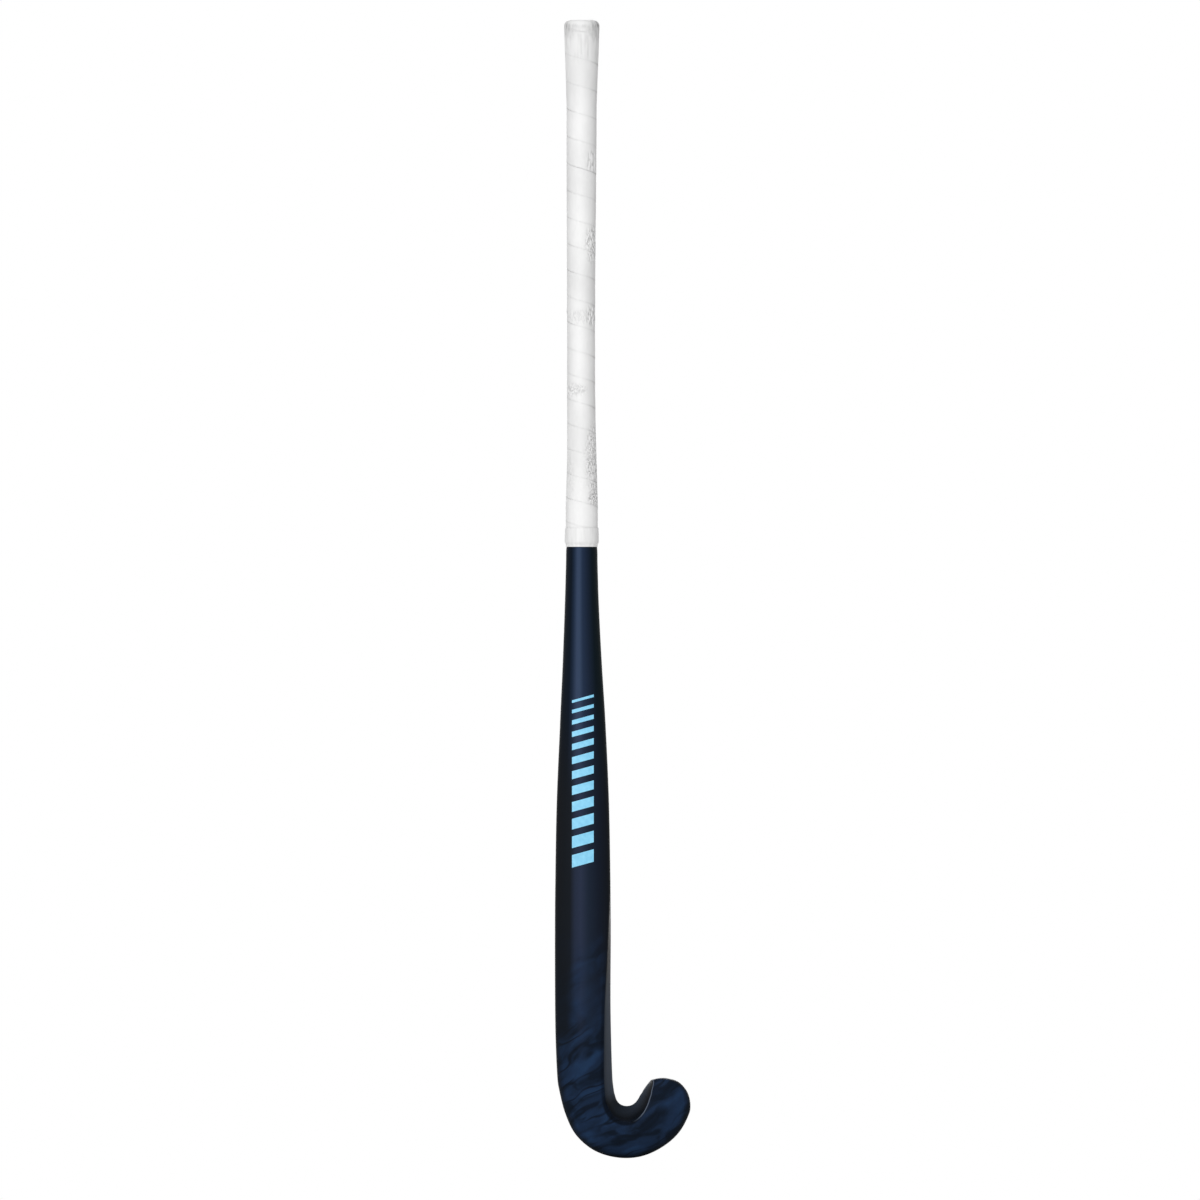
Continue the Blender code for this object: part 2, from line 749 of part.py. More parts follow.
def build_finishing_tape(parent):
    """The glossy tape that holds the grip's lower end down onto the shaft."""
    ridge = TAPE_LIP + TAPE_LIP_GAP + TAPE_UPPER_LIP
    on_grip = FIT_GAP + ridge + FIT_GAP
    top = GRIP_END + FINISH_ON_GRIP
    bottom = GRIP_END - FINISH_ON_SHAFT
    step_top = GRIP_END - FIT_GAP
    profile = (
        (on_grip, top),
        (on_grip + FINISH_THICKNESS, top - FINISH_EDGE),
        (on_grip + FINISH_THICKNESS, GRIP_END),
        (on_grip, step_top - FINISH_CHAMFER),
        (FIT_GAP + FINISH_THICKNESS, step_top - FINISH_FALL),
        (FIT_GAP + FINISH_THICKNESS, bottom),
        (FIT_GAP, bottom),
        (FIT_GAP, step_top),
        (on_grip, step_top),
    )
    mesh = bmesh.new()
    loft_closed(mesh, [handle_ring(height, offset) for offset, height in profile])
    return finish_piece("finishing_tape", mesh, GRIP_END, FINISH_FILM, parent)


def clear_scene():
    """Removes every object that the file opened with."""
    for item in list(bpy.data.objects):
        bpy.data.objects.remove(item, do_unlink=True)


def stand_on_origin(frame, pieces):
    """Moves the frame so that the middle of the stick's box stands on the world's origin."""
    corners = [piece.location + vert.co for piece in pieces for vert in piece.data.vertices]
    low = [min(corner[axis] for corner in corners) for axis in range(3)]
    high = [max(corner[axis] for corner in corners) for axis in range(3)]
    frame.location = (-(low[0] + high[0]) / 2, -(low[1] + high[1]) / 2, -low[2])
    print("stick frame stands at %.5f %.5f %.5f" % tuple(frame.location))


def main():
    """Builds the stick piece by piece on one frame."""
    clear_scene()
    frame = bpy.data.objects.new("stick_frame", None)
    bpy.context.scene.collection.objects.link(frame)
    pieces = [
        build_shell(frame),
        build_web(frame),
        build_core(frame),
        build_plug(frame),
        build_cap(frame),
        build_grip_tape(frame),
        build_finishing_tape(frame),
    ]
    stand_on_origin(frame, pieces)


main()
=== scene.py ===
"""Field hockey goalkeeper stick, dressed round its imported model.

Lengths are metres and angles are degrees, unless a name or comment says otherwise. The stick
is first drawn upright with its shaft's axis at x = 0 and its sole near z = 0, and each piece
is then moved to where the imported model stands.
"""

import logging
import math
from dataclasses import dataclass, field
from enum import Enum
from typing import Any, Callable, NamedTuple, Optional, Sequence

import bmesh
import bpy
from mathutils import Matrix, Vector, noise

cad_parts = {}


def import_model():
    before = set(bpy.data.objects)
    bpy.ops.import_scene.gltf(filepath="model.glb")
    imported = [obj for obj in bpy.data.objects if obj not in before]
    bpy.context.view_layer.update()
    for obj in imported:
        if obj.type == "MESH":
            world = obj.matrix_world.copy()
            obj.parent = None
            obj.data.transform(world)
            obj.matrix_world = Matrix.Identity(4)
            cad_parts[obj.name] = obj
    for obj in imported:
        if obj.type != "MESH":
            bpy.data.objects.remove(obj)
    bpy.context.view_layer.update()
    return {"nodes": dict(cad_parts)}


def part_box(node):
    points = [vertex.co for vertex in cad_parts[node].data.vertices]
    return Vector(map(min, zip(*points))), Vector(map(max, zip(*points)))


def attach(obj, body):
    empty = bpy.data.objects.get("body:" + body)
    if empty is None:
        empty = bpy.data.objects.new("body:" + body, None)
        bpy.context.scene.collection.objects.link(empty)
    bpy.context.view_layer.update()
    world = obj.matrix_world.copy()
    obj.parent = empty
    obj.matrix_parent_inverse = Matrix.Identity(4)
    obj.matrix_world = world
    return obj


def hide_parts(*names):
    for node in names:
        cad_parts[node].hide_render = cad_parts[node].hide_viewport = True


MM = 0.001
WELD = 0.000001
FIT_GAP = 0.0003
BODY = "root"

LOG = logging.getLogger("stick")

Mesh = bmesh.types.BMesh
Object = bpy.types.Object
Material = bpy.types.Material
Point = tuple[float, float]
Ring = Sequence[Vector]
Place = Callable[[int, int], Vector]
Chart = Callable[[int, int], Point]
Marks = Optional[Callable[[int, int], float]]
Stops = Sequence[tuple[float, str]]

SMOOTH = {"interpolation_type": "SMOOTHSTEP"}
WHITE = (1.0, 1.0, 1.0, 1.0)


class Slot(Enum):
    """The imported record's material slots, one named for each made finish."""

    LACQUER = "lacquered_laminate"
    RUBBER = "cap_rubber"
    GRIP = "grip_film"
    FINISH = "finishing_film"


def mix(first: float, second: float, share: float) -> float:
    """Returns the value at a share of the way from the first to the second."""
    return first + (second - first) * share


def clamp(value: float, low: float, high: float) -> float:
    """Returns the value, kept between two limits."""
    return max(low, min(high, value))


def ease(value: float) -> float:
    """Returns a smooth step from 0 to 1 as the value goes from 0 to 1."""
    value = clamp(value, 0.0, 1.0)
    return value * value * (3.0 - 2.0 * value)


def shares(steps: int) -> list[float]:
    """Returns the shares from 0 to 1 in equal steps."""
    return [step / steps for step in range(steps + 1)]


def linear(code: str) -> tuple[float, float, float, float]:
    """Turns an sRGB hex colour into Blender's linear one.

    Args:
        code: six hex digits, such as "1a2b3c".

    Returns:
        Red, green and blue as linear values, and an alpha of 1.
    """
    values = []
    for index in (0, 2, 4):
        part = int(code[index:index + 2], 16) / 255.0
        values.append(part / 12.92 if part <= 0.04045 else ((part + 0.055) / 1.055) ** 2.4)
    return (values[0], values[1], values[2], 1.0)


class Nodes:
    """The node tree of a material or a world, and the one way to add to it.

    Attributes:
        tree: the tree.
        shader: its Principled node, which a world has not.
    """

    def __init__(self, owner: Any) -> None:
        """Turns on the owner's nodes.

        Args:
            owner: the material or world.
        """
        owner.use_nodes = True
        self.tree = owner.node_tree
        self.shader = self.tree.nodes.get("Principled BSDF")

    def feed(self, socket: Any, value: Any) -> None:
        """Links an input or sets it.

        Args:
            socket: the input.
            value: a node, whose first output in use is linked, a socket, a hex colour or a value.
        """
        if isinstance(value, bpy.types.Node):
            value = next(output for output in value.outputs if output.enabled)
        if isinstance(value, bpy.types.NodeSocket):
            self.tree.links.new(value, socket)
        else:
            socket.default_value = linear(value) if isinstance(value, str) else value

    def add(self, kind: str, *inputs: Any, stops: Stops = (), **settings: Any) -> Any:
        """Adds a node with its settings and links.

        Args:
            kind: the node's type, without its "ShaderNode" prefix.
            *inputs: what feeds its inputs, in the order of those that its settings leave in use.
            stops: a Color Ramp's pairs of place and hex colour.
            **settings: its properties, and with a capital the names of further inputs.

        Returns:
            The node.
        """
        node = self.tree.nodes.new("ShaderNode" + kind)
        named = {"Scale": 1.0} if kind.startswith("Tex") and "Scale" in node.inputs else {}
        for name, value in settings.items():
            if name[0].isupper():
                named[name] = value
            else:
                setattr(node, name, value)
        used = [socket for socket in node.inputs if socket.enabled]
        for socket, value in zip(used, inputs):
            self.feed(socket, value)
        for name, value in named.items():
            self.feed(node.inputs[name], value)
        for index, (place, colour) in enumerate(stops):
            elements = node.color_ramp.elements
            element = elements[index] if index < 2 else elements.new(place)
            element.position = place
            element.color = linear(colour)
        return node

    def place(self) -> Any:
        """Returns the place on the piece, in metres."""
        return self.add("TexCoord").outputs["Object"]

    def pattern(self, *scale: float) -> Any:
        """Returns the place on the piece in pattern units, so many to a metre along X, Y and Z."""
        return self.add("Mapping", self.place(), Scale=scale)

    def relief(self, height: Any, depth: float, under: Any = None) -> Any:
        """Gives the surface a relief.

        Args:
            height: the height, from 0 to 1.
            depth: the height of 1, in metres.
            under: another relief that this one lies over.

        Returns:
            The relief.
        """
        made = self.add("Bump", Height=height, Distance=depth, Strength=1.0)
        if under is not None:
            self.feed(made.inputs["Normal"], under)
        self.feed(self.shader.inputs["Normal"], made)
        return made


# Meshes


def add_object(name: str, data: Any) -> Object:
    """Adds an object with its data to the scene.

    Args:
        name: its name.
        data: its data.

    Returns:
        The object.
    """
    made = bpy.data.objects.new(name, data)
    bpy.context.scene.collection.objects.link(made)
    return made


def mesh_object(name: str, mesh: Mesh, material: Material) -> Object:
    """Turns a mesh into an object.

    Args:
        name: its name.
        mesh: the mesh, which is freed.
        material: its material.

    Returns:
        The object.
    """
    data = bpy.data.meshes.new(name)
    mesh.to_mesh(data)
    mesh.free()
    data.materials.append(material)
    return add_object(name, data)


def lay_surface(columns: int, rows: int, place: Place, chart: Chart, marks: Marks = None) -> Mesh:
    """Lays a grid over a surface, closes its seams and poles, and turns its faces outward.

    Args:
        columns: faces round the surface.
        rows: faces along it.
        place: gives the point for a column and a row.
        chart: gives the UV place for a column and a row.
        marks: gives the value of the point attribute Mark, if there is one.

    Returns:
        The mesh, with a UV map called Surface.
    """
    mesh = bmesh.new()
    layer = mesh.loops.layers.uv.new("Surface")
    mark = mesh.verts.layers.float.new("Mark") if marks else None
    bmesh.ops.create_grid(mesh, x_segments=columns, y_segments=rows, size=0.5)
    cells = {}
    for vert in mesh.verts:
        cells[vert] = (round((vert.co.x + 0.5) * columns), round((vert.co.y + 0.5) * rows))
    for face in mesh.faces:
        for loop in face.loops:
            loop[layer].uv = chart(*cells[loop.vert])
    for vert, cell in cells.items():
        vert.co = place(*cell)
        if mark:
            vert[mark] = marks(*cell)
    bmesh.ops.remove_doubles(mesh, verts=mesh.verts[:], dist=WELD)
    bmesh.ops.recalc_face_normals(mesh, faces=mesh.faces[:])
    return mesh


def lay_rings(rings: Sequence[Ring], chart: Chart, marks: Marks = None) -> Mesh:
    """Lays a closed tube through rings that all have the same number of points.

    Args:
        rings: the rings in order. A ring whose points are all the same closes the tube.
        chart: as lay_surface has it.
        marks: as lay_surface has it.

    Returns:
        The mesh.
    """
    count = len(rings[0])
    return lay_surface(count, len(rings) - 1, lambda column, row: rings[row][column % count],
                       chart, marks)


def pad_rows(rows: list, before: int, after: int) -> list:
    """Returns a list with its first and last entries repeated before and after it."""
    return rows[:1] * before + rows + rows[-1:] * after


def ring_middle(ring: Ring) -> Vector:
    """Returns the middle of a ring's points."""
    return sum(ring, Vector()) / len(ring)


def shrink_ring(ring: Ring, share: float, shift: Vector) -> list[Vector]:
    """Returns a ring drawn in toward its middle to a share of its size, and shifted."""
    middle = ring_middle(ring)
    return [middle + (point - middle) * share + shift for point in ring]


def close_rings(ring: Ring, rise: Vector, steps: int) -> list[list[Vector]]:
    """Makes the rings of a low dome that closes a tube.

    Args:
        ring: the tube's last ring.
        rise: from the ring's middle to the dome's top.
        steps: rings in the dome.

    Returns:
        The rings from the one after the last ring to the pole.
    """
    angles = [math.pi / 2 * step / steps for step in range(1, steps + 1)]
    rings = [shrink_ring(ring, math.cos(angle), rise * math.sin(angle)) for angle in angles[:-1]]
    return [*rings, shrink_ring(ring, 0.0, rise)]


# Finishes


@dataclass(frozen=True)
class Finish:
    """A finish: a Principled material that a subclass gives its pattern.

    Attributes:
        name: the material's name.
        roughness: how matt the surface is.
        ior: the surface layer's refractive index.
    """

    name: str
    roughness: float
    ior: float

    def material(self) -> Material:
        """Makes the material and gives it the finish's colour and relief.

        Returns:
            The material.
        """
        made = bpy.data.materials.new(self.name)
        nodes = Nodes(made)
        nodes.shader.inputs["Roughness"].default_value = self.roughness
        nodes.shader.inputs["IOR"].default_value = self.ior
        nodes.feed(nodes.shader.inputs["Base Color"], self.paint(nodes))
        return made

    def paint(self, nodes: Nodes) -> Any:
        """Gives the shader the finish's relief and returns its colour."""
        raise NotImplementedError


class Brush(NamedTuple):
    """A brushed pattern: its units in a metre, sway in units, detail and start across."""

    scale: tuple[float, float, float]
    swing: float
    detail: float
    start: float


@dataclass(frozen=True)
class Lacquer(Finish):
    """Satin lacquer over carbon and glass fibre laminate, pressed in a mould and sprayed.

    It gives a painted highlight down the middle, a navy that painted shade darkens to black toward
    the two sides, and brushed navy and black streaks over the head. Ramps across the section run
    from the heel side to the toe side.

    Attributes:
        neck, blade: colours across the neck and the blade, each with a painted highlight a little
            left of the middle and painted shade toward the sides.
        blade_ends: heights between which the one gives way to the other.
        cloud_ends, streak_ends: heights between which the head's clouds and streaks come in.
        cloud_ragged, streak_ragged: how far those edges wander up and down.
        streak_slopes: slope of the streaks at the two heights of lean_ends.
        lean_middle: where across the head the streaks keep their height as their slope changes.
        clouds, streaks: the two patterns. Clouds are 15 to 40 mm long, and streaks 20 to 60 mm
            long and 1.5 to 4 mm wide.
        streak_width: how far from the pattern's middle value a streak is full, and ends.
        streak_breaks: values of a third pattern between which a streak comes in.
        rim_width: share of the way across over which the heel's edge is darkened by painted shade.
        heel_band: shares over which a wider dark band fades, between the heights of heel_ends.
        flank: colours of the flank inside the crook: its darkest painted shade, its palest painted
            light, and a painted highlight along its crease.
    """

    name: str = "satin_lacquer_on_fibre_laminate"
    roughness: float = 0.40
    ior: float = 1.08
    neck: Stops = (
        (0.00, "14191f"), (0.18, "0f1722"), (0.26, "1c283b"), (0.36, "33415a"), (0.43, "33425b"),
        (0.52, "212e44"), (0.66, "1a2435"), (0.82, "0f181f"), (1.00, "121a1c"),
    )
    blade: Stops = (
        (0.00, "181a1d"), (0.27, "161a20"), (0.36, "242c3e"), (0.46, "293145"), (0.60, "1c2534"),
        (0.78, "161c28"), (1.00, "14171b"),
    )
    blade_ends: Point = (0.40, 0.29)
    cloud_ends: Point = (0.200, 0.082)
    cloud_ragged: float = 0.03
    streak_ends: Point = (0.135, 0.095)
    streak_ragged: float = 0.012
    streak_slopes: Point = (0.36, 0.66)
    lean_ends: Point = (0.000, 0.036)
    lean_middle: float = 0.022
    clouds: Brush = Brush((32, 45, 75), 1.6, 3.0, 0.0)
    cloud_colours: Stops = (
        (0.00, "0f1722"), (0.36, "121b28"), (0.44, "19263a"), (0.56, "1d2d46"),
        (0.68, "203450"), (1.00, "243959"),
    )
    streaks: Brush = Brush((9, 20, 60), 1.3, 1.4, 1.7)
    streak_width: Point = (0.008, 0.050)
    streak_depth: float = 0.85
    streak_breaks: Point = (0.32, 0.50)
    streak_colour: str = "101722"
    rim_width: float = 0.13
    heel_band: Point = (0.18, 0.40)
    heel_ends: Point = (0.075, 0.110)
    edge_colour: str = "13171c"
    flank: Stops = ((0.2, "090d13"), (0.6, "353e4b"), (1.0, "596170"))

    def paint(self, nodes: Nodes) -> Any:
        """Adds an orange peel and a slightly uneven gloss, and mixes the colour.

        Args:
            nodes: the material's nodes.

        Returns:
            The lacquer's colour.
        """
        place = nodes.add("SeparateXYZ", nodes.place()).outputs
        across = nodes.add("SeparateXYZ", nodes.add("UVMap", uv_map="Surface")).outputs["X"]
        shaft = self.shaft_colour_and_painted_light(nodes, place, across)
        head = self.head_colour(nodes, place, across)
        share = self.share_by_height(nodes, place, self.cloud_ends, self.cloud_ragged)
        colour = nodes.add("Mix", share, shaft, head, data_type="RGBA")
        # Mark paints light and shade on the flank inside the crook, with a painted highlight along
        # the toe's crease.
        flank = nodes.add("Attribute", attribute_name="Mark").outputs["Fac"]
        shade = nodes.add("ValToRGB", flank, stops=self.flank)
        there = nodes.add("MapRange", flank, 0.0, self.flank[0][0])
        # Sprayed lacquer has an orange peel about 2 to 3 mm wide and a few microns deep.
        peel = nodes.add("TexNoise", nodes.pattern(380, 380, 380), Detail=1.0)
        nodes.relief(peel, 0.012 * MM)
        gloss = nodes.add("TexNoise", nodes.pattern(40, 40, 18), Detail=3.0)
        matt = (self.roughness - 0.04, self.roughness + 0.05)
        nodes.feed(nodes.shader.inputs["Roughness"], nodes.add("MapRange", gloss, 0.3, 0.7, *matt))
        return nodes.add("Mix", there, colour, shade, data_type="RGBA")

    def shaft_colour_and_painted_light(self, nodes: Nodes, place: Any, across: Any) -> Any:
        """Mixes the colour of the neck and the blade, with its painted highlight and shade.

        Args:
            nodes: the material's nodes.
            place: the place's three outputs.
            across: the share of the way across the stick.

        Returns:
            The colour.
        """
        share = nodes.add("MapRange", place["Z"], *self.blade_ends, **SMOOTH)
        # The ramps paint a highlight a little left of the middle and shade toward the two sides.
        neck = nodes.add("ValToRGB", across, stops=self.neck)
        blade = nodes.add("ValToRGB", across, stops=self.blade)
        return nodes.add("Mix", share, neck, blade, data_type="RGBA")

    def head_colour(self, nodes: Nodes, place: Any, across: Any) -> Any:
        """Mixes the head's navy clouds and the streaks a brush leaves over them.

        Args:
            nodes: the material's nodes.
            place: the place's three outputs.
            across: the share of the way across the stick.

        Returns:
            The colour.
        """
        slope = nodes.add("MapRange", place["Z"], *self.lean_ends, *self.streak_slopes, **SMOOTH)
        side = nodes.add("Math", place["X"], self.lean_middle, operation="SUBTRACT")
        lean = nodes.add("Math", side, slope, operation="MULTIPLY")
        level = nodes.add("Math", place["Z"], lean, operation="SUBTRACT")
        along = nodes.add("CombineXYZ", place["X"], place["Y"], level)
        sway = nodes.add("TexNoise", nodes.pattern(24, 24, 24), Detail=2.0).outputs["Color"]
        clouds = self.brushed(nodes, along, sway, self.clouds)
        clouds = nodes.add("ValToRGB", clouds, stops=self.cloud_colours)
        streaks = self.brushed(nodes, along, sway, self.streaks)
        away = nodes.add("Math", streaks, 0.5, operation="SUBTRACT")
        away = nodes.add("Math", away, operation="ABSOLUTE")
        line = nodes.add("MapRange", away, *self.streak_width, self.streak_depth, 0.0, **SMOOTH)
        low = self.share_by_height(nodes, place, self.streak_ends, self.streak_ragged)
        line = nodes.add("Math", line, low, operation="MULTIPLY")
        broken = nodes.add("TexNoise", nodes.pattern(34, 34, 34), Detail=1.0)
        broken = nodes.add("MapRange", broken, *self.streak_breaks)
        line = nodes.add("Math", line, broken, operation="MULTIPLY")
        lined = nodes.add("Mix", line, clouds, self.streak_colour, data_type="RGBA")
        # Painted shade darkens the heel's edge and the sole.
        rim = nodes.add("MapRange", across, 0.0, self.rim_width, 0.95, 0.0)
        heel = nodes.add("MapRange", across, *self.heel_band, 0.9, 0.0, **SMOOTH)
        high = nodes.add("MapRange", place["Z"], *self.heel_ends, **SMOOTH)
        heel = nodes.add("Math", heel, high, operation="MULTIPLY")
        edge = nodes.add("Math", rim, heel, operation="MAXIMUM")
        return nodes.add("Mix", edge, lined, self.edge_colour, data_type="RGBA")

    def brushed(self, nodes: Nodes, along: Any, sway: Any, brush: Brush) -> Any:
        """Makes a noise that is drawn out along the brush's strokes and swayed.

        Args:
            nodes: the material's nodes.
            along: the place, with a height that follows the strokes.
            sway: the colour that sways the pattern.
            brush: the pattern.

        Returns:
            The noise.
        """
        drawn = nodes.add("Mapping", along, Location=(0.0, 0.0, brush.start), Scale=brush.scale)
        bent = nodes.add("VectorMath", sway, brush.swing, operation="SCALE")
        moved = nodes.add("VectorMath", drawn, bent, operation="ADD")
        return nodes.add("TexNoise", moved, Detail=brush.detail, Roughness=0.5, Distortion=0.4)

    def share_by_height(self, nodes: Nodes, place: Any, ends: Point, ragged: float) -> Any:
        """Works out how far something covers the lacquer.

        Args:
            nodes: the material's nodes.
            place: the place's three outputs.
            ends: the heights between which it comes in.
            ragged: how far that edge wanders up and down.

        Returns:
            The share, from 0 over the first height to 1.
        """
        edge = nodes.add("TexNoise", nodes.pattern(60, 60, 28), Detail=2.0)
        wander = nodes.add("MapRange", edge, 0.3, 0.7, -ragged, ragged)
        height = nodes.add("Math", place["Z"], wander, operation="ADD")
        return nodes.add("MapRange", height, *ends, **SMOOTH)


class PaintedShadeSpot(NamedTuple):
    """A spot of painted shade: its middle, how far it reaches and how far it covers the white."""

    place: tuple[float, float, float]
    reach: float
    depth: float


@dataclass(frozen=True)
class WhiteFilm(Finish):
    """A white surface that is faintly clouded.

    Attributes:
        clouds: units of the clouds' pattern in a metre along X, Y and Z.
        shades: darkest and palest colour.
        cap_line: height of the line between tape and cap, where a painted shade lies in the groove
            under the rim.
        line_reach, line_depth: how far from that line the painted shade is full, and ends, and how
            far it covers the white.
        shade_spots: painted shade at the butt's two corners, where its rounded top turns from the
            light, cap and tape alike.
        shade_spot_core: share of a spot's reach over which it is full.
    """

    clouds: tuple[float, float, float] = (45, 45, 25)
    shades: tuple[str, str] = ("e6e6e6", "efefef")
    cap_line: float = 0.9474
    line_reach: Point = (0.2 * MM, 2.6 * MM)
    line_depth: float = 0.20
    # The grey of the painted shade.
    shade_and_dirt: str = "6a6a6a"
    shade_spots: tuple = (
        PaintedShadeSpot((-0.0200, -0.0170, 0.9502), 0.0085, 0.85),
        PaintedShadeSpot((-0.0205, -0.0180, 0.9460), 0.0180, 0.50),
        PaintedShadeSpot((-0.0490, -0.0150, 0.9472), 0.0140, 0.60),
        PaintedShadeSpot((-0.0440, -0.0240, 0.9440), 0.0110, 0.28),
        PaintedShadeSpot((-0.0290, -0.0240, 0.9400), 0.0150, 0.12),
    )
    shade_spot_core: float = 0.2

    def clouded(self, nodes: Nodes) -> tuple[Any, Any]:
        """Makes the faint clouds.

        Args:
            nodes: the material's nodes.

        Returns:
            Their pattern and their colour.
        """
        clouds = nodes.add("TexNoise", nodes.pattern(*self.clouds), Detail=3.0)
        pale = nodes.add("ValToRGB", clouds, stops=((0.35, self.shades[0]), (0.65, self.shades[1])))
        return clouds, pale

    def add_painted_shade(self, nodes: Nodes, colour: Any) -> Any:
        """Lays the butt's painted shade over a colour.

        Args:
            nodes: the material's nodes.
            colour: the clean colour.

        Returns:
            The colour with its painted shade.
        """
        mottle = nodes.add("TexNoise", nodes.pattern(330, 330, 120), Detail=2.0)
        mottle = nodes.add("MapRange", mottle, 0.35, 0.65, 0.15, 0.85)
        height = nodes.add("SeparateXYZ", nodes.place()).outputs["Z"]
        off = nodes.add("Math", height, self.cap_line, operation="SUBTRACT")
        off = nodes.add("Math", off, operation="ABSOLUTE")
        # Painted shade in the groove under the cap's rim and at the butt's two corners, mottled.
        smudges = [(off, *self.line_reach, self.line_depth)]
        for place, reach, depth in self.shade_spots:
            away = nodes.add("VectorMath", nodes.place(), place, operation="DISTANCE")
            smudges.append((away, reach * self.shade_spot_core, reach, depth))
        for smudge in smudges:
            painted_light = nodes.add("MapRange", *smudge, 0.0, **SMOOTH)
            painted_light = nodes.add("Math", painted_light, mottle, operation="MULTIPLY")
            colour = nodes.add("Mix", painted_light, colour, self.shade_and_dirt, data_type="RGBA")
        return colour


@dataclass(frozen=True)
class GripFilm(WhiteFilm):
    """White polyurethane grip tape, a soft film cast on felt and wound on under tension.

    It gives a matt white with a faint grain, with painted shade along each turn's lower edge and at
    the butt's corners, and dirt and painted shade in each pucker's creases.
    """

    name: str = "polyurethane_grip_film"
    roughness: float = 0.58
    ior: float = 1.45

    def paint(self, nodes: Nodes) -> Any:
        """Adds pores and fine creases, and mixes the colour.

        Args:
            nodes: the material's nodes.

        Returns:
            The white with its painted shade and dirt.
        """
        # Mark holds painted shade along each turn's lower edge, and dirt and painted shade in the
        # creases.
        shade_and_dirt = nodes.add("Attribute", attribute_name="Mark").outputs["Fac"]
        colour = nodes.add("Mix", shade_and_dirt, self.clouded(nodes)[1], "8c8c8c", data_type="RGBA")
        # The film's pores are about 0.2 mm wide. They are drawn near 1 mm, the least that shows.
        pores = nodes.add("TexNoise", nodes.pattern(900, 900, 900), Detail=2.0)
        first = nodes.relief(pores, 0.05 * MM)
        # The film creases along the stick where it is pulled round the oval handle.
        creases = nodes.pattern(520, 520, 60)
        creases = nodes.add("TexNoise", creases, Detail=2.0, Distortion=0.6)
        nodes.relief(creases, 0.15 * MM, first)
        return self.add_painted_shade(nodes, colour)


@dataclass(frozen=True)
class FinishFilm(WhiteFilm):
    """White PVC finishing tape, calendered and stretched on.

    It gives a slightly glossier white than the grip, with fine upright stretch marks.
    """

    name: str = "stretched_pvc_tape"
    roughness: float = 0.50
    ior: float = 1.46
    clouds: tuple[float, float, float] = (300, 300, 45)
    shades: tuple[str, str] = ("e3e3e3", "eeeeee")

    def paint(self, nodes: Nodes) -> Any:
        """Adds the stretch marks.

        Args:
            nodes: the material's nodes.

        Returns:
            The white that they shade.
        """
        marks, colour = self.clouded(nodes)
        nodes.relief(marks, 0.14 * MM)
        return colour


@dataclass(frozen=True)
class CapRubber(WhiteFilm):
    """White thermoplastic elastomer, injection moulded in a spark-eroded mould.

    It gives an even, matt white with a fine grain, with painted shade at its corners.
    """

    name: str = "moulded_elastomer"
    roughness: float = 0.60
    ior: float = 1.46
    shades: tuple[str, str] = ("e5e5e5", "eeeeee")

    def paint(self, nodes: Nodes) -> Any:
        """Adds the mould's grain, and mixes the colour.

        Args:
            nodes: the material's nodes.

        Returns:
            The white with its painted shade.
        """
        # The mould's grain is about 0.1 mm. It is drawn at 0.7 mm, the least that shows.
        grain = nodes.add("TexNoise", nodes.pattern(1400, 1400, 1400))
        nodes.relief(grain, 0.03 * MM)
        return self.add_painted_shade(nodes, self.clouded(nodes)[1])


@dataclass(frozen=True)
class BarInk(Finish):
    """Light blue screen ink, printed on the lacquer and cured.

    It gives a flat, opaque light blue with a slightly uneven film.
    """

    name: str = "light_blue_screen_ink"
    roughness: float = 0.42
    ior: float = 1.48

    def paint(self, nodes: Nodes) -> Any:
        """Returns the ink's slightly uneven colour. The film is too thin for any relief."""
        film = nodes.add("TexNoise", nodes.pattern(260, 260, 260), Detail=2.0)
        return nodes.add("ValToRGB", film, stops=((0.3, "79c6ea"), (0.7, "8ad4f4")))


@dataclass(frozen=True)
class Foam(Finish):
    """Rigid polyurethane foam, poured and cured inside the laminate.

    It gives a matt straw colour with small closed cells.

    Attributes:
        cell: width of a cell, in metres.
        pale: colour of the cell walls.
        deep: colour inside the cells.
    """

    name: str = "rigid_polyurethane_foam"
    roughness: float = 0.9
    ior: float = 1.45
    cell: float = 0.0012
    pale: str = "cdb583"
    deep: str = "9a7f4c"

    def paint(self, nodes: Nodes) -> Any:
        """Adds the cells.

        Args:
            nodes: the material's nodes.

        Returns:
            Their colour.
        """
        cells = nodes.add("TexVoronoi", nodes.pattern(*(1.0 / self.cell,) * 3))
        nodes.relief(cells, 0.2 * MM)
        return nodes.add("ValToRGB", cells, stops=((0.1, self.deep), (0.6, self.pale)))


@dataclass(frozen=True)
class BareLaminate(Finish):
    """Bare carbon and glass fibre laminate, pressed in a mould and left unpainted.

    It gives a dark, satin surface with the cloth's weave showing.

    Attributes:
        tow: width of one bundle of fibres, in metres.
    """

    name: str = "bare_fibre_laminate"
    roughness: float = 0.5
    ior: float = 1.54
    tow: float = 0.002

    def paint(self, nodes: Nodes) -> Any:
        """Adds the weave.

        Args:
            nodes: the material's nodes.

        Returns:
            The colour of its two directions.
        """
        weave = nodes.pattern(*(1.0 / self.tow,) * 3)
        weave = nodes.add("TexChecker", weave, Color1="1b1b1e", Color2="2a2b2f")
        nodes.relief(weave.outputs["Fac"], 0.06 * MM)
        return weave


# The stick's form

EDGE_SHARE = 0.45  # of half the width and of the face's depth: the most that an edge's round takes
LEAST_CREASE = 0.05  # of half the width: the least from the middle to the flank's crease
FILLET_SHARE = 0.3  # of the flank's width: the most that the crease's rounding takes
FILLET_ANGLE = 0.3  # in radians: the most of the crown that it takes
CROWN_STEP = 0.02  # in radians: the step over which the crown's length is measured


class Station(NamedTuple):
    """One section of the stick: its two edge points and the sizes between them."""

    outer_x: float
    outer_z: float
    inner_x: float
    inner_z: float
    crown: float
    face: float
    blade: float
    flank: float
    wall: float


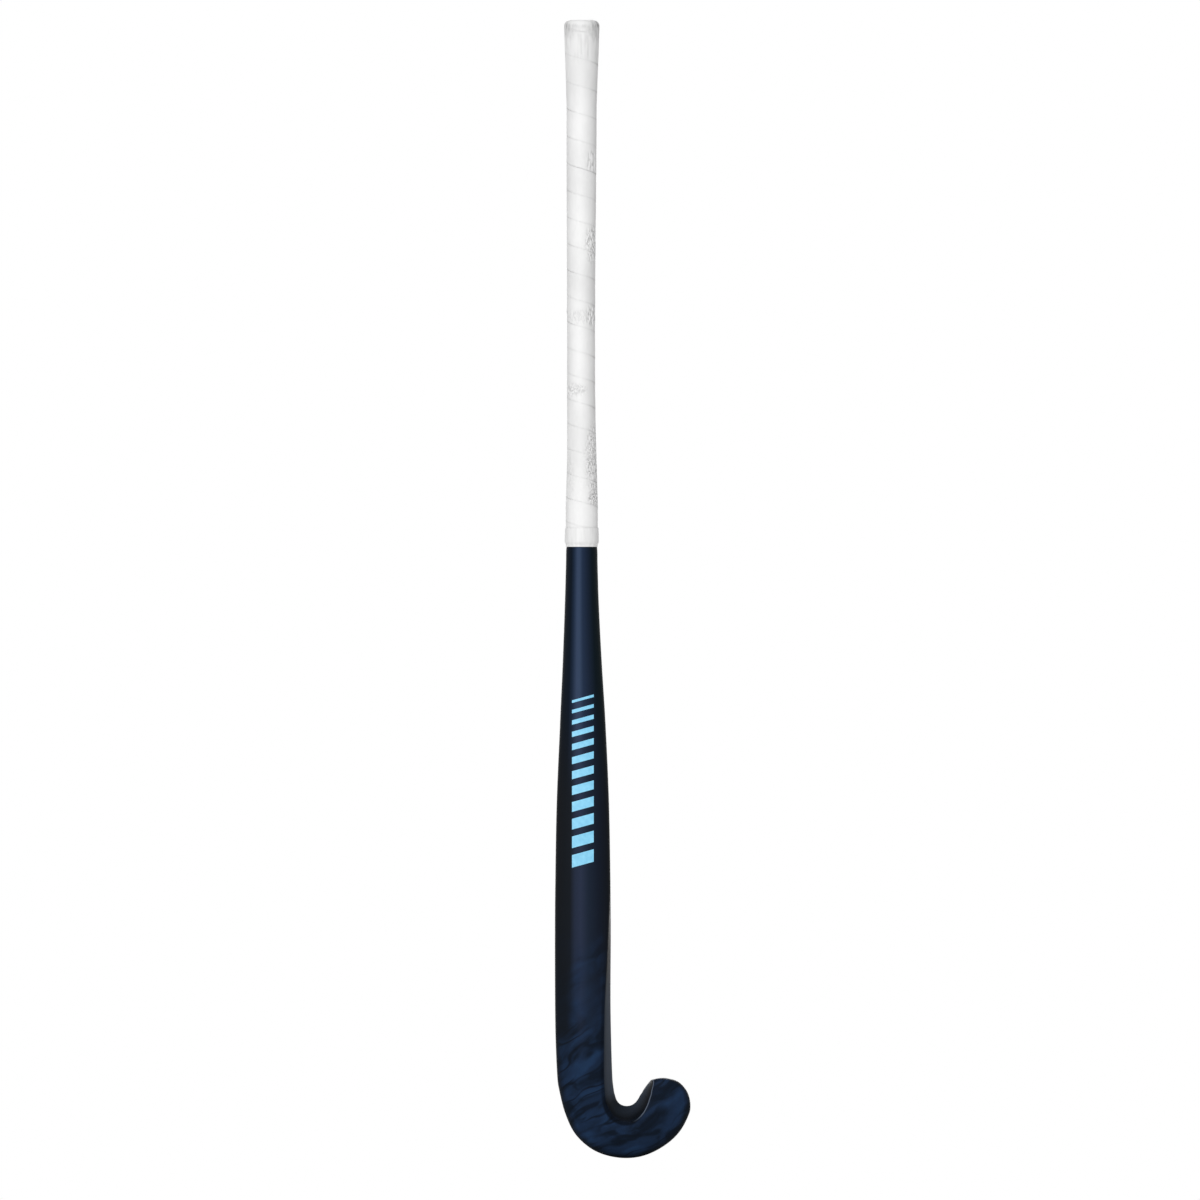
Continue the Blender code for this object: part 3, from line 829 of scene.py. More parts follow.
@dataclass
class StickForm:
    """The stick's outside as one run of sections from the butt to the toe's tip.

    Two rails carry it. The outer one runs down the heel side and round the sole, and the
    inner one down the other side and round the crook.

    Attributes:
        length: whole length, from the sole to the cap's top.
        grip_length: length of the grip with its cap and finishing tape.
        bow_depth: greatest distance of the stick from a line from its head to its butt.
        bow_top, bow_bottom: heights between which the stick bends.
        head_sway, handle_sway: how far the head's middle lies toward the toe from the shaft's
            axis, and the handle's the other way.
        head_sway_ends: heights between which the shaft comes round to the head's.
        handle_sway_ends: heights at which the handle's starts, is full, ebbs and ends.
        cap_crown: thickness of the cap over the laminate's end.
        finish_on_shaft: how far the finishing tape runs down the shaft.
        handle, waist, end, neck: the oval's width and depth at four places down the handle.
        shoulder_drop: from the grip's end to the neck.
        face_depth, blade_crown: from the blade section's middle to its face and its crown.
        crown_power: how square the crown is, where 2 is an ellipse.
        crook_pull: how far the crook's centre lies in from its round.
        sole_drop: how far the sole lies under its round.
        crook_flare, heel_cut: how far the two edges move toward the toe above the hook.
        tip_radius: from the crook's centre to the toe's tip.
        cavity_end_turn: the hook's turn at which the hollow ends.
        fillet, fillet_turns: reach of the crease's rounding, at two of the hook's turns.
        handle_shape: share of the way down the handle, share of waist, share of grip end.
        neck_shape: share of the way down the neck, share of widening, share of blade section.
        blade_shape: height over the crook in millimetres, share of heel cut, share of crook
            flare, flank in millimetres.
        hook_shape: turn in degrees, crook and sole off their round in millimetres, share of
            the way to the tip on each rail, crown and flank in millimetres.
    """

    length: float = 0.9525
    grip_length: float = 0.441
    bow_depth: float = 0.020
    bow_top: float = 0.400
    bow_bottom: float = 0.100
    head_sway: float = 0.0009
    head_sway_ends: Point = (0.340, 0.480)
    handle_sway: float = 0.0006
    handle_sway_ends: tuple = (0.560, 0.660, 0.700, 0.950)
    cap_crown: float = 0.0032
    finish_on_shaft: float = 0.0045
    handle: Point = (0.0224, 0.0266)
    waist: Point = (0.0208, 0.0256)
    end: Point = (0.0243, 0.0258)
    neck: Point = (0.0262, 0.0262)
    shoulder_drop: float = 0.007
    shaft_wall: float = 0.0024
    blade_height: float = 0.190
    blade_width: float = 0.0469
    blade_wall: float = 0.0028
    blade_top_flank: float = 0.002
    face_depth: float = 0.0100
    blade_crown: float = 0.0125
    edge_round: float = 0.0030
    crown_power: float = 2.6
    crook_radius: float = 0.0123
    crook_pull: float = 0.0007
    head_width: float = 0.0437
    head_wall: float = 0.0040
    sole_drop: float = 0.0006
    crook_flare: float = 0.00265
    heel_cut: float = 0.0037
    tip_radius: float = 0.0218
    cavity_end_turn: float = 176.0
    fillet: Point = (0.0016, 0.0006)
    fillet_turns: Point = (20.0, 140.0)
    handle_shape: tuple = (
        (0.23, 0.0, 0.0), (0.59, 1.0, 0.0), (0.82, 0.75, 0.15), (0.93, 0.0, 0.95),
    )
    neck_shape: tuple = (
        (0.03, 0.015, 0.0), (0.14, 0.11, 0.15), (0.29, 0.31, 0.50),
        (0.45, 0.57, 0.85), (0.66, 0.85, 1.0), (0.87, 0.97, 1.0),
    )
    blade_shape: tuple = (
        (75.0, 0.03, -0.10, 4.6), (43.0, 0.16, 0.10, 5.8), (10.0, 0.57, 0.51, 7.0),
    )
    hook_shape: tuple = (
        (0.0, -0.6, 1.5, 0.0, 0.0, 12.2, 7.6),
        (20.0, -0.8, -0.1, 0.0, 0.0, 12.0, 8.5),
        (40.0, 0.0, 1.25, 0.0, 0.0, 11.8, 10.4),
        (60.0, 0.8, 1.65, 0.0, 0.0, 11.6, 12.4),
        (80.0, 0.8, 0.95, 0.0, 0.0, 11.5, 13.8),
        (100.0, 0.4, 0.4, 0.0, 0.0, 11.3, 13.4),
        (120.0, -0.4, -0.5, 0.0, 0.0, 11.1, 11.3),
        (140.0, -1.2, -0.6, 0.0, 0.0, 11.0, 9.4),
        (160.0, -1.3, -0.15, 0.0, 0.030, 10.8, 8.2),
        (170.0, -0.5, -0.1, 0.0, 0.088, 10.7, 7.6),
        (180.0, 0.0, 0.0, 0.04, 0.204, 10.5, 7.0),
        (190.0, 0.0, 0.0, 0.24, 0.39, 10.0, 6.4),
        (197.4, 0.0, 0.0, 0.49, 0.635, 9.0, 5.2),
        (201.5, 0.0, 0.0, 0.70, 0.80, 7.0, 3.4),
        (203.9, 0.0, 0.0, 0.88, 0.97, 3.0, 0.6),
    )
    face_steps: int = 12
    round_steps: int = 5
    side_steps: int = 5
    crown_steps: int = 40
    fillet_steps: int = 5
    stations: list = field(init=False)
    places: list = field(init=False)
    slopes: list = field(init=False)

    def __post_init__(self) -> None:
        """Works out the stations, their distances from the butt and their slopes."""
        self.stations = self.handle_stations() + self.neck_stations()
        self.stations += self.blade_stations() + self.hook_stations()
        self.places = [0.0]
        for before, after in zip(self.stations, self.stations[1:]):
            step_x = (after.outer_x + after.inner_x - before.outer_x - before.inner_x) / 2
            step_z = (after.outer_z + after.inner_z - before.outer_z - before.inner_z) / 2
            self.places.append(self.places[-1] + math.hypot(step_x, step_z))
        self.slopes = [self.slope(index) for index in range(len(self.stations))]

    @property
    def handle_top(self) -> float:
        """Height of the laminate's upper end, under the cap."""
        return self.length - self.cap_crown - FIT_GAP

    @property
    def grip_end(self) -> float:
        """Height of the grip tape's lower end."""
        return self.length - self.grip_length + self.finish_on_shaft

    def shaft_station(self, height: float, size: Point) -> Station:
        """Returns a level oval section that is even about the shaft's axis."""
        wide, deep = size[0] / 2, size[1] / 2
        return Station(-wide, height, wide, height, deep, deep, 0.0, 0.0, self.shaft_wall)

    def handle_stations(self) -> list[Station]:
        """Works out the handle.

        Returns:
            Its sections from the butt down to the grip's end.
        """
        rows = [self.shaft_station(self.handle_top, self.handle)]
        for share, waist, end in self.handle_shape:
            sizes = zip(self.handle, self.waist, self.end)
            wide, deep = (mix(mix(size, least, waist), last, end) for size, least, last in sizes)
            height = mix(self.handle_top, self.grip_end, share)
            rows.append(self.shaft_station(height, (wide, deep)))
        return rows + [self.shaft_station(self.grip_end, self.end)]

    def neck_stations(self) -> list[Station]:
        """Works out the neck.

        Returns:
            Its sections from the shoulder to the top of the blade.
        """
        shoulder = self.grip_end - self.shoulder_drop
        rows = [self.shaft_station(shoulder, self.neck)]
        for share, widening, blade in self.neck_shape:
            half = mix(self.neck[0], self.blade_width, widening) / 2
            height = mix(shoulder, self.blade_height, share)
            crown = mix(self.neck[1] / 2, self.blade_crown, blade)
            face = mix(self.neck[1] / 2, self.face_depth, blade)
            wall = mix(self.shaft_wall, self.blade_wall, widening)
            rows.append(Station(-half, height, half, height, crown, face, blade, 0.0, wall))
        return rows

    def blade_stations(self) -> list[Station]:
        """Works out the blade.

        Returns:
            Its level sections from its top down to the crook's centre.
        """
        half = self.blade_width / 2
        depths = (self.blade_crown, self.face_depth, 1.0)
        rows = [Station(-half, self.blade_height, half, self.blade_height, *depths,
                        self.blade_top_flank, self.blade_wall)]
        centre = self.crook_radius + self.head_width + self.sole_drop
        for over, cut, flare, flank in self.blade_shape:
            height = centre + over * MM
            wall = mix(self.blade_wall, self.head_wall, cut)
            heel, toe = -half + self.heel_cut * cut, half + self.crook_flare * flare
            rows.append(Station(heel, height, toe, height, *depths, flank * MM, wall))
        return rows

    def hook_stations(self) -> list[Station]:
        """Works out the hook.

        Returns:
            Its sections, which turn about the crook's centre, to the toe.
        """
        centre_x = self.blade_width / 2 + self.crook_flare + self.crook_radius - self.crook_pull
        centre_z = self.crook_radius + self.head_width + self.sole_drop
        rows = []
        for turn, crook, sole, inner_tip, outer_tip, crown, flank in self.hook_shape:
            inner = mix(self.crook_radius + crook * MM, self.tip_radius, inner_tip)
            outer = mix(self.crook_radius + self.head_width + sole * MM, self.tip_radius, outer_tip)
            angle = math.radians(180.0 + turn)
            run, rise = math.cos(angle), math.sin(angle)
            rows.append(Station(centre_x + outer * run, centre_z + outer * rise,
                                centre_x + inner * run, centre_z + inner * rise,
                                crown * MM, self.face_depth, 1.0, flank * MM, self.head_wall))
        return rows

    def slope(self, index: int) -> list[float]:
        """Works out how fast each size changes at a station.

        Args:
            index: the station's.

        Returns:
            The slopes, from its two neighbours.
        """
        low = max(index - 1, 0)
        high = min(index + 1, len(self.stations) - 1)
        run = self.places[high] - self.places[low]
        return [(b - a) / run for a, b in zip(self.stations[low], self.stations[high])]

    def at(self, place: float) -> Station:
        """Runs a smooth curve through the stations.

        Args:
            place: distance from the butt.

        Returns:
            The section there.
        """
        low = 0
        while low < len(self.places) - 2 and self.places[low + 1] < place:
            low += 1
        run = self.places[low + 1] - self.places[low]
        t = clamp((place - self.places[low]) / run, 0.0, 1.0)
        weights = ((1.0 + 2.0 * t) * (1.0 - t) ** 2, t * (1.0 - t) ** 2 * run,
                   t * t * (3.0 - 2.0 * t), t * t * (t - 1.0) * run)
        rows = (self.stations[low], self.slopes[low], self.stations[low + 1], self.slopes[low + 1])
        sizes = (sum(w * size for w, size in zip(weights, column)) for column in zip(*rows))
        station = Station(*sizes)
        return station._replace(blade=clamp(station.blade, 0.0, 1.0), flank=max(station.flank, 0.0))

    def place_of_turn(self, turn: float) -> float:
        """Finds a place in the hook.

        Args:
            turn: the hook's turn there.

        Returns:
            Its distance from the butt.
        """
        first = len(self.stations) - len(self.hook_shape)
        for index, (low, high) in enumerate(zip(self.hook_shape, self.hook_shape[1:])):
            if low[0] <= turn <= high[0]:
                share = (turn - low[0]) / (high[0] - low[0])
                return mix(self.places[first + index], self.places[first + index + 1], share)
        return self.places[-1]

    def bow(self, height: float) -> float:
        """Works out the stick's bow.

        Args:
            height: height on the stick.

        Returns:
            How far the stick's middle lies toward the face there.
        """
        bend = (self.bow_top**2 - self.bow_bottom**2) / 2
        below_top = bend / self.length
        peak = self.bow_top - below_top
        curve = self.bow_depth / (bend * (1.0 - peak / self.length) - below_top**2 / 2)
        if height >= self.bow_top:
            return 0.0
        if height >= self.bow_bottom:
            return curve * (self.bow_top - height) ** 2 / 2
        straight = self.bow_top - self.bow_bottom
        return curve * straight * (straight / 2 + self.bow_bottom - height)

    def sway(self, height: float) -> float:
        """Works out the stick's sway.

        Args:
            height: height on the stick.

        Returns:
            How far the stick's middle lies toward the toe side there.
        """
        low, high = self.head_sway_ends
        head = ease((high - height) / (high - low))
        bottom, low, high, top = self.handle_sway_ends
        handle = ease((top - height) / (top - high)) * ease((height - bottom) / (low - bottom))
        return self.head_sway * head - self.handle_sway * handle

    def crown_point(self, half: float, crown: float, angle: float) -> Vector:
        """Works out a point of the crowned back.

        Args:
            half: half the section's width.
            crown: from its middle to the crown's top.
            angle: place round it, in radians from its inner end.

        Returns:
            The point (across, depth).
        """
        across = abs(math.cos(angle)) ** (2 / self.crown_power)
        depth = abs(math.sin(angle)) ** (2 / self.crown_power)
        return Vector((math.copysign(half * across, math.cos(angle)), -crown * depth))

    def outline(self, half: float, face: float, crown: float, flank: float,
                fillet: float) -> list[Vector]:
        """Works out the blade section.

        Args:
            half: half its width.
            face: from its middle to the flat face.
            crown: from its middle to the top of the crowned back.
            flank: width that the crease cuts off the crown.
            fillet: reach of the crease's rounding on each side.

        Returns:
            The points (across, depth), from the face's inner end round to it.
        """
        edge = min(self.edge_round, EDGE_SHARE * half, EDGE_SHARE * face)
        start = math.acos(clamp((half - flank) / half, LEAST_CREASE, 1.0) ** (self.crown_power / 2))
        points = [Vector((mix(half - edge, edge - half, share), face))
                  for share in shares(self.face_steps)]
        turns = [math.pi / 2 * step / self.round_steps for step in range(self.round_steps + 1)]
        bends = [(edge * math.cos(turn), edge * math.sin(turn)) for turn in turns]
        points += [Vector((edge - half - out, face - edge + up)) for up, out in bends[1:]]
        points += [Vector((-half, mix(face - edge, 0.0, share)))
                   for share in shares(self.side_steps)[1:-1]]
        crease = self.crown_point(half, crown, start)
        side_end = Vector((half, face - edge))
        reach = min(fillet, FILLET_SHARE * (side_end - crease).length)
        speed = (self.crown_point(half, crown, start + CROWN_STEP) - crease).length / CROWN_STEP
        upper = start + min(reach / max(speed, WELD), FILLET_ANGLE)
        for share in shares(self.crown_steps):
            share = mix(share, (1.0 - math.cos(math.pi * share)) / 2, 0.5)
            points.append(self.crown_point(half, crown, mix(math.pi, upper, share)))
        before = points[-1].copy()
        after = crease + (side_end - crease).normalized() * reach
        for share in shares(self.fillet_steps)[1:]:
            points.append(before.lerp(crease, share).lerp(crease.lerp(after, share), share))
        points += [after.lerp(side_end, share) for share in shares(self.side_steps)[1:-1]]
        return points + [Vector((half - edge + out, face - edge + up)) for out, up in bends[:-1]]

    def fillet_at(self, place: float) -> float:
        """Returns the reach of the crease's rounding, softer on the shaft than at the toe."""
        start, end = (self.place_of_turn(turn) for turn in self.fillet_turns)
        return mix(*self.fillet, ease((place - start) / (end - start)))

    @property
    def flank_columns(self) -> tuple[int, int]:
        """Returns the first and last point of the flank in an outline."""
        first = self.face_steps + 1 + self.round_steps + self.side_steps - 1 + self.crown_steps + 1
        return (first, first + self.fillet_steps + self.side_steps - 1)

    def section(self, place: float, inset: float) -> list[tuple[Vector, float]]:
        """Works out the ring of the stick's section.

        Args:
            place: distance from the butt.
            inset: how far the ring lies inside the surface, less than 0 for outside.

        Returns:
            Each point, with its share of the way across from the outer rail to the inner.
        """
        station = self.at(place)
        along = Vector((station.inner_x - station.outer_x, 0.0, station.inner_z - station.outer_z))
        ends = Vector((station.inner_x + station.outer_x, 0.0, station.inner_z + station.outer_z))
        half = along.length / 2 - inset
        along.normalize()
        face = station.face - inset
        crown = station.crown - inset
        ring = []
        for corner in self.outline(half, face, crown, station.flank, self.fillet_at(place)):
            deep = face if corner.y > 0 else crown
            angle = math.atan2(corner.y / deep, corner.x / half)
            across = mix(half * math.cos(angle), corner.x, station.blade)
            depth = mix(deep * math.sin(angle), corner.y, station.blade)
            point = ends / 2 + along * across
            point = Vector((point.x + self.sway(point.z), depth + self.bow(point.z), point.z))
            ring.append((point, 0.5 + across / half / 2))
        return ring

    def handle_point(self, angle: float, height: float, offset: float) -> Vector:
        """Works out a point round the oval handle.

        Args:
            angle: place round the handle, in radians.
            height: height on the stick.
            offset: how far it stands off the laminate.

        Returns:
            The point.
        """
        station = self.at(self.handle_top - height)
        wide, deep = station.inner_x, station.face
        normal = Vector((math.cos(angle) / wide, math.sin(angle) / deep)).normalized()
        x = wide * math.cos(angle) + normal.x * offset
        y = deep * math.sin(angle) + normal.y * offset
        return Vector((x + self.sway(height), y + self.bow(height), height))

    def handle_ring(self, height: float, offset: float, count: int) -> list[Vector]:
        """Returns a level ring round the handle, at an offset from the laminate."""
        angles = [2 * math.pi * step / count for step in range(count)]
        return [self.handle_point(angle, height, offset) for angle in angles]


# The pieces


@dataclass
class StickPart:
    """A part of the stick.

    Attributes:
        form: the stick's form.
        shift: from the drawing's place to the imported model's.
    """

    form: StickForm
    shift: Vector

    def make_piece(self, name: str, mesh: Mesh, material: Material, slot: Slot,
                   sharp: float) -> Object:
        """Turns a mesh into a piece that rides on the stick.

        Args:
            name: the piece's name.
            mesh: the mesh, which is freed.
            material: its material.
            slot: the record's slot that the finish comes from; not used.
            sharp: edges that turn more than this angle are shaded sharp.

        Returns:
            The piece.
        """
        bmesh.ops.translate(mesh, verts=mesh.verts[:], vec=self.shift)
        for face in mesh.faces:
            face.smooth = True
        for edge in mesh.edges:
            edge.smooth = edge.calc_face_angle(0.0) < math.radians(sharp)
        piece = mesh_object(name, mesh, material)
        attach(piece, BODY)
        LOG.info("%s: %d faces", name, len(piece.data.polygons))
        return piece


@dataclass
class StickBody(StickPart):
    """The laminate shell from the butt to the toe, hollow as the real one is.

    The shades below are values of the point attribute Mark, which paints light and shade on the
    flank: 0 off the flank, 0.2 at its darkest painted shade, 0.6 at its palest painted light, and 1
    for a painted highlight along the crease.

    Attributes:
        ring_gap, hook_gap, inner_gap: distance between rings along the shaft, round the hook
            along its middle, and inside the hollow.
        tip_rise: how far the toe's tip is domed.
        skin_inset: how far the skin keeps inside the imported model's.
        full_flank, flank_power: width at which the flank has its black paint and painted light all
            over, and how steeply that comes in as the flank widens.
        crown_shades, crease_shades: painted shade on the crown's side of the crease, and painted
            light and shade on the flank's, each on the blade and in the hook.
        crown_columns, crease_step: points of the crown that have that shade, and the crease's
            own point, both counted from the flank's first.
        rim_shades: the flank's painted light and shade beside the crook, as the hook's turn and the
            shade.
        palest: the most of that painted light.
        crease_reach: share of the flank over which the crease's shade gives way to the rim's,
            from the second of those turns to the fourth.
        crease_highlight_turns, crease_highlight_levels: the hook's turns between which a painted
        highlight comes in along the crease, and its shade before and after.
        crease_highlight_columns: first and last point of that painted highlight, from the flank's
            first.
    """

    ring_gap: float = 0.0024
    hook_gap: float = 0.0012
    inner_gap: float = 0.012
    tip_rise: float = 0.0005
    skin_inset: float = 0.00003
    full_flank: float = 0.0045
    flank_power: float = 2.6
    crown_shades: Point = (0.10, 0.17)
    crease_shades: Point = (0.46, 0.17)
    crown_columns: int = 4
    crease_step: int = 2
    rim_shades: tuple = ((2.0, 0.60), (38.0, 0.25), (90.0, 0.33), (130.0, 0.46), (185.0, 0.50))
    palest: float = 0.6
    crease_reach: Point = (0.45, 0.95)
    crease_highlight_turns: Point = (92.0, 128.0)
    crease_highlight_levels: Point = (0.15, 1.0)
    crease_highlight_columns: tuple[int, int] = (-1, 2)

    def __post_init__(self) -> None:
        """Turns the hook's turns into distances from the butt."""
        self.rims = [(self.form.place_of_turn(turn), shade) for turn, shade in self.rim_shades]
        self.painted_light = [self.form.place_of_turn(turn) for turn in self.crease_highlight_turns]

    def outside(self) -> list[float]:
        """Spaces the rings of the outside.

        Returns:
            Their distances from the butt.
        """
        start = self.form.place_of_turn(0.0)
        end = self.form.places[-1]
        shaft = round(start / self.ring_gap)
        hook = round((end - start) / self.hook_gap)
        rows = [start * step / shaft for step in range(shaft)]
        return rows + [mix(start, end, step / hook) for step in range(hook + 1)]

    def flank_mark(self, column: int, place: float) -> float:
        """Works out the flank's painted light and shade.

        Args:
            column: point of the outline.
            place: distance from the butt.

        Returns:
            The value of Mark.
        """
        first, last = self.form.flank_columns
        step = column - first
        painted_light = ease((place - self.painted_light[0]) / (self.painted_light[1] - self.painted_light[0]))
        # A painted highlight along the crease on the toe side.
        if self.crease_highlight_columns[0] <= step <= self.crease_highlight_columns[1] and painted_light > 0.0:
            return mix(*self.crease_highlight_levels, painted_light)
        if step < -self.crown_columns or step > last - first:
            return 0.0
        there = clamp(self.form.at(place).flank / self.full_flank, 0.0, 1.0) ** self.flank_power
        blade, hook, _, toe, _ = (where for where, _ in self.rims)
        bent = ease((place - blade) / (hook - blade))
        # Painted shade on the crown's side of the crease.
        if step < self.crease_step:
            fade = ease((step + self.crown_columns + 1) / 3.0)
            return mix(*self.crown_shades, bent) * there * (1.0 - painted_light) * fade
        # Painted light on the flank, pale on the shaft side and shaded in the crook.
        rim = self.rims[0][1]
        for (low, shade), (high, after) in zip(self.rims, self.rims[1:]):
            rim = mix(shade, after, (place - low) / (high - low)) if place >= low else rim
        across = clamp((step - self.form.fillet_steps + 1) / self.form.side_steps, 0.0, 1.0)
        reach = mix(*self.crease_reach, ease((place - hook) / (toe - hook)))
        shade = mix(mix(*self.crease_shades, bent), min(rim, self.palest), ease(across / reach))
        return there * shade

    def build(self) -> Object:
        """Builds the shell as one closed skin, outside and inside.

        Returns:
            The dressed piece.
        """
        places = self.outside()[::-1]
        sections = [self.form.section(place, self.skin_inset) for place in places]
        end = self.form.place_of_turn(self.form.cavity_end_turn)
        count = round(end / self.inner_gap)
        inner = [end * step / count for step in range(count + 1)]
        sections += [self.form.section(place, self.form.at(place).wall) for place in inner]
        rings = [[point for point, _ in section] for section in sections]
        rise = (ring_middle(rings[0]) - ring_middle(rings[1])).normalized()
        tip = close_rings(rings[0], rise * self.tip_rise, 4)[::-1]
        cavity = close_rings(rings[-1], Vector(), 2)
        sections = pad_rows(sections, len(tip), len(cavity))
        places = pad_rows(places + inner, len(tip), len(cavity))
        columns = len(rings[0])
        mesh = lay_rings(tip + rings + cavity,
                         lambda column, row: (sections[row][column % columns][1], places[row]),
                         lambda column, row: self.flank_mark(column % columns, places[row]))
        lacquer = Lacquer().material()
        piece = self.make_piece("laminate_shell", mesh, lacquer, Slot.LACQUER, sharp=40.0)
        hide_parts("stick_shell")
        return piece


@dataclass
class PrintedBars(StickPart):
    """Generic light blue bars printed across the shaft's back, thick ones first.

    Attributes:
        bottom, top: heights of the lowest and the highest edge.
        left, right: the bars' ends, from the shaft's axis.
        thick, thin: heights of the lowest and the highest bar.
        slant: how much higher the right end of a bar is than the left.
        stand, film: how far the ink stands off the lacquer, and its thickness.
        columns, row_gap: faces across a bar, and the distance between their rows.
        count: how many bars there are.
    """

    bottom: float = 0.243
    top: float = 0.388
    left: float = -0.0082
    right: float = 0.0100
    count: int = 12
    thick: float = 0.0105
    thin: float = 0.0022
    slant: float = 0.0050
    stand: float = 0.00002
    film: float = 0.00006
    columns: int = 22
    row_gap: float = 0.0012

    def back_point(self, across: float, height: float, off: float) -> Vector:
        """Finds a point of the crowned back.

        Args:
            across: place across the stick.
            height: height on the stick.
            off: how far it stands off the lacquer.

        Returns:
            The point.
        """
        ring = self.form.section(self.form.handle_top - height, -off)
        back = [point for point, _ in ring if point.y < self.form.bow(height)]
        back.sort(key=lambda point: point.x)
        for before, after in zip(back, back[1:]):
            if before.x <= across <= after.x:
                return before.lerp(after, (across - before.x) / (after.x - before.x))
        return back[0]

    def bar(self, low: float, high: float) -> Mesh:
        """Lays one bar as a thin closed film that follows the crown.

        Args:
            low: height of its lower edge.
            high: height of its upper one.

        Returns:
            The mesh.
        """
        rows = max(3, round((high - low) / self.row_gap))
        rings = []
        for row in range(rows + 1):
            outer, under = [], []
            for column in range(self.columns + 1):
                share = column / self.columns
                across = mix(self.left, self.right, share)
                height = mix(low, high, row / rows) + self.slant * (share - 0.5)
                outer.append(self.back_point(across, height, self.stand + self.film))
                under.append(self.back_point(across, height, self.stand))
            middle = [above.lerp(below, 0.5) for above, below in zip(outer, under)]
            flat = [middle + middle[::-1]]
            rings += flat * (row == 0) + [outer + under[::-1]] + flat * (row == rows)
        return lay_rings(rings, lambda column, row: (column / self.columns, row / (rows + 2)))

    def build(self) -> list[Object]:
        """Builds and prints every bar.

        Returns:
            The pieces, from the lowest up.
        """
        heights = [mix(self.thick, self.thin, share) for share in shares(self.count - 1)]
        gap = (self.top - self.bottom - self.slant - sum(heights)) / (self.count - 1)
        low = self.bottom + self.slant / 2
        ink = BarInk().material()
        pieces = []
        for step, height in enumerate(heights):
            mesh = self.bar(low, low + height)
            name = "printed_bar_%02d" % (step + 1)
            pieces.append(self.make_piece(name, mesh, ink, Slot.LACQUER, sharp=60.0))
            low += height + gap
        return pieces


@dataclass
class ButtCap(StickPart):
    """The moulded cap that closes the butt: a rounded rim, a skirt and a boss inside.

    Attributes:
        overhang: how far the rim stands out over the laminate.
        rim_round, rim_height: radius of the rim, and its height over its flange.
        flat_inset: how far inside the laminate's outline the flat top begins.
        dome: how far the top falls from its flat to the rim.
        boss, skirt: lengths of the boss inside the handle and the skirt outside it.
        skirt_edge, skirt_root: thickness of the skirt at its edge and at the rim.
        count, steps: points round a ring, and rings in the rim's round and each side of the skirt.
    """

    overhang: float = 0.00355
    rim_round: float = 0.0048
    rim_height: float = 0.0035
    flat_inset: float = 0.0040
    dome: float = 0.0004
    boss: float = 0.008
    skirt: float = 0.042
    skirt_edge: float = 0.0005
    skirt_root: float = 0.0020
    count: int = 96
    steps: int = 8

    @property
    def flange(self) -> float:
        """Height of the rim's underside."""
        return self.form.handle_top - self.rim_height

    def skirt_thickness(self, height: float) -> float:
        """Returns the thickness of the skirt at a height, as its line runs on below the edge."""
        share = (height - self.flange + self.skirt) / self.skirt
        return mix(self.skirt_edge, self.skirt_root, share)

    def profile(self) -> list[Point]:
        """Works out the cap's section.

        Returns:
            Its points (offset from the laminate, height), from the top out.
        """
        top = self.form.length
        rows = [(-self.flat_inset, top), (-self.flat_inset / 2, top - self.dome * 0.2)]
        rim = self.overhang - self.rim_round
        for share in shares(self.steps):
            angle = math.pi / 2 * share
            rows.append((rim + self.rim_round * math.sin(angle),
                         top - self.dome - self.rim_round * (1.0 - math.cos(angle))))
        rows.append((self.overhang, self.flange))
        edge = self.flange - self.skirt
        heights = [mix(self.flange, edge, share) for share in shares(self.steps)]
        rows += [(FIT_GAP + self.skirt_thickness(height), height) for height in heights]
        rows += [(FIT_GAP, height) for height in heights[::-1]]
        inside = -self.form.shaft_wall - FIT_GAP
        seat = self.form.handle_top + FIT_GAP
        return rows + [(FIT_GAP, seat), (inside, seat), (inside, self.form.handle_top - self.boss)]

    def build(self) -> Object:
        """Builds the cap.

        Returns:
            The dressed piece.
        """
        rings = []
        for offset, height in self.profile():
            ring = self.form.handle_ring(min(height, self.form.handle_top), offset, self.count)
            rings.append([Vector((point.x, point.y, height)) for point in ring])
        top = close_rings(rings[0], Vector(), 4)[::-1]
        rings = top + rings + close_rings(rings[-1], Vector(), 3)
        mesh = lay_rings(rings, lambda column, row: (column / self.count, row / len(rings)))
        rubber = CapRubber().material()
        piece = self.make_piece("moulded_cap", mesh, rubber, Slot.RUBBER, sharp=50.0)
        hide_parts("butt_cap")
        return piece


class Pucker(NamedTuple):
    """A patch where the grip film is gathered or dimpled.

    Its place and reach are a height and an angle round the handle, and its creases' width and
    height are in millimetres.
    """

    height: float
    angle: float
    reach_up: float
    reach_round: float
    depth: float
    wide: float
    tall: float


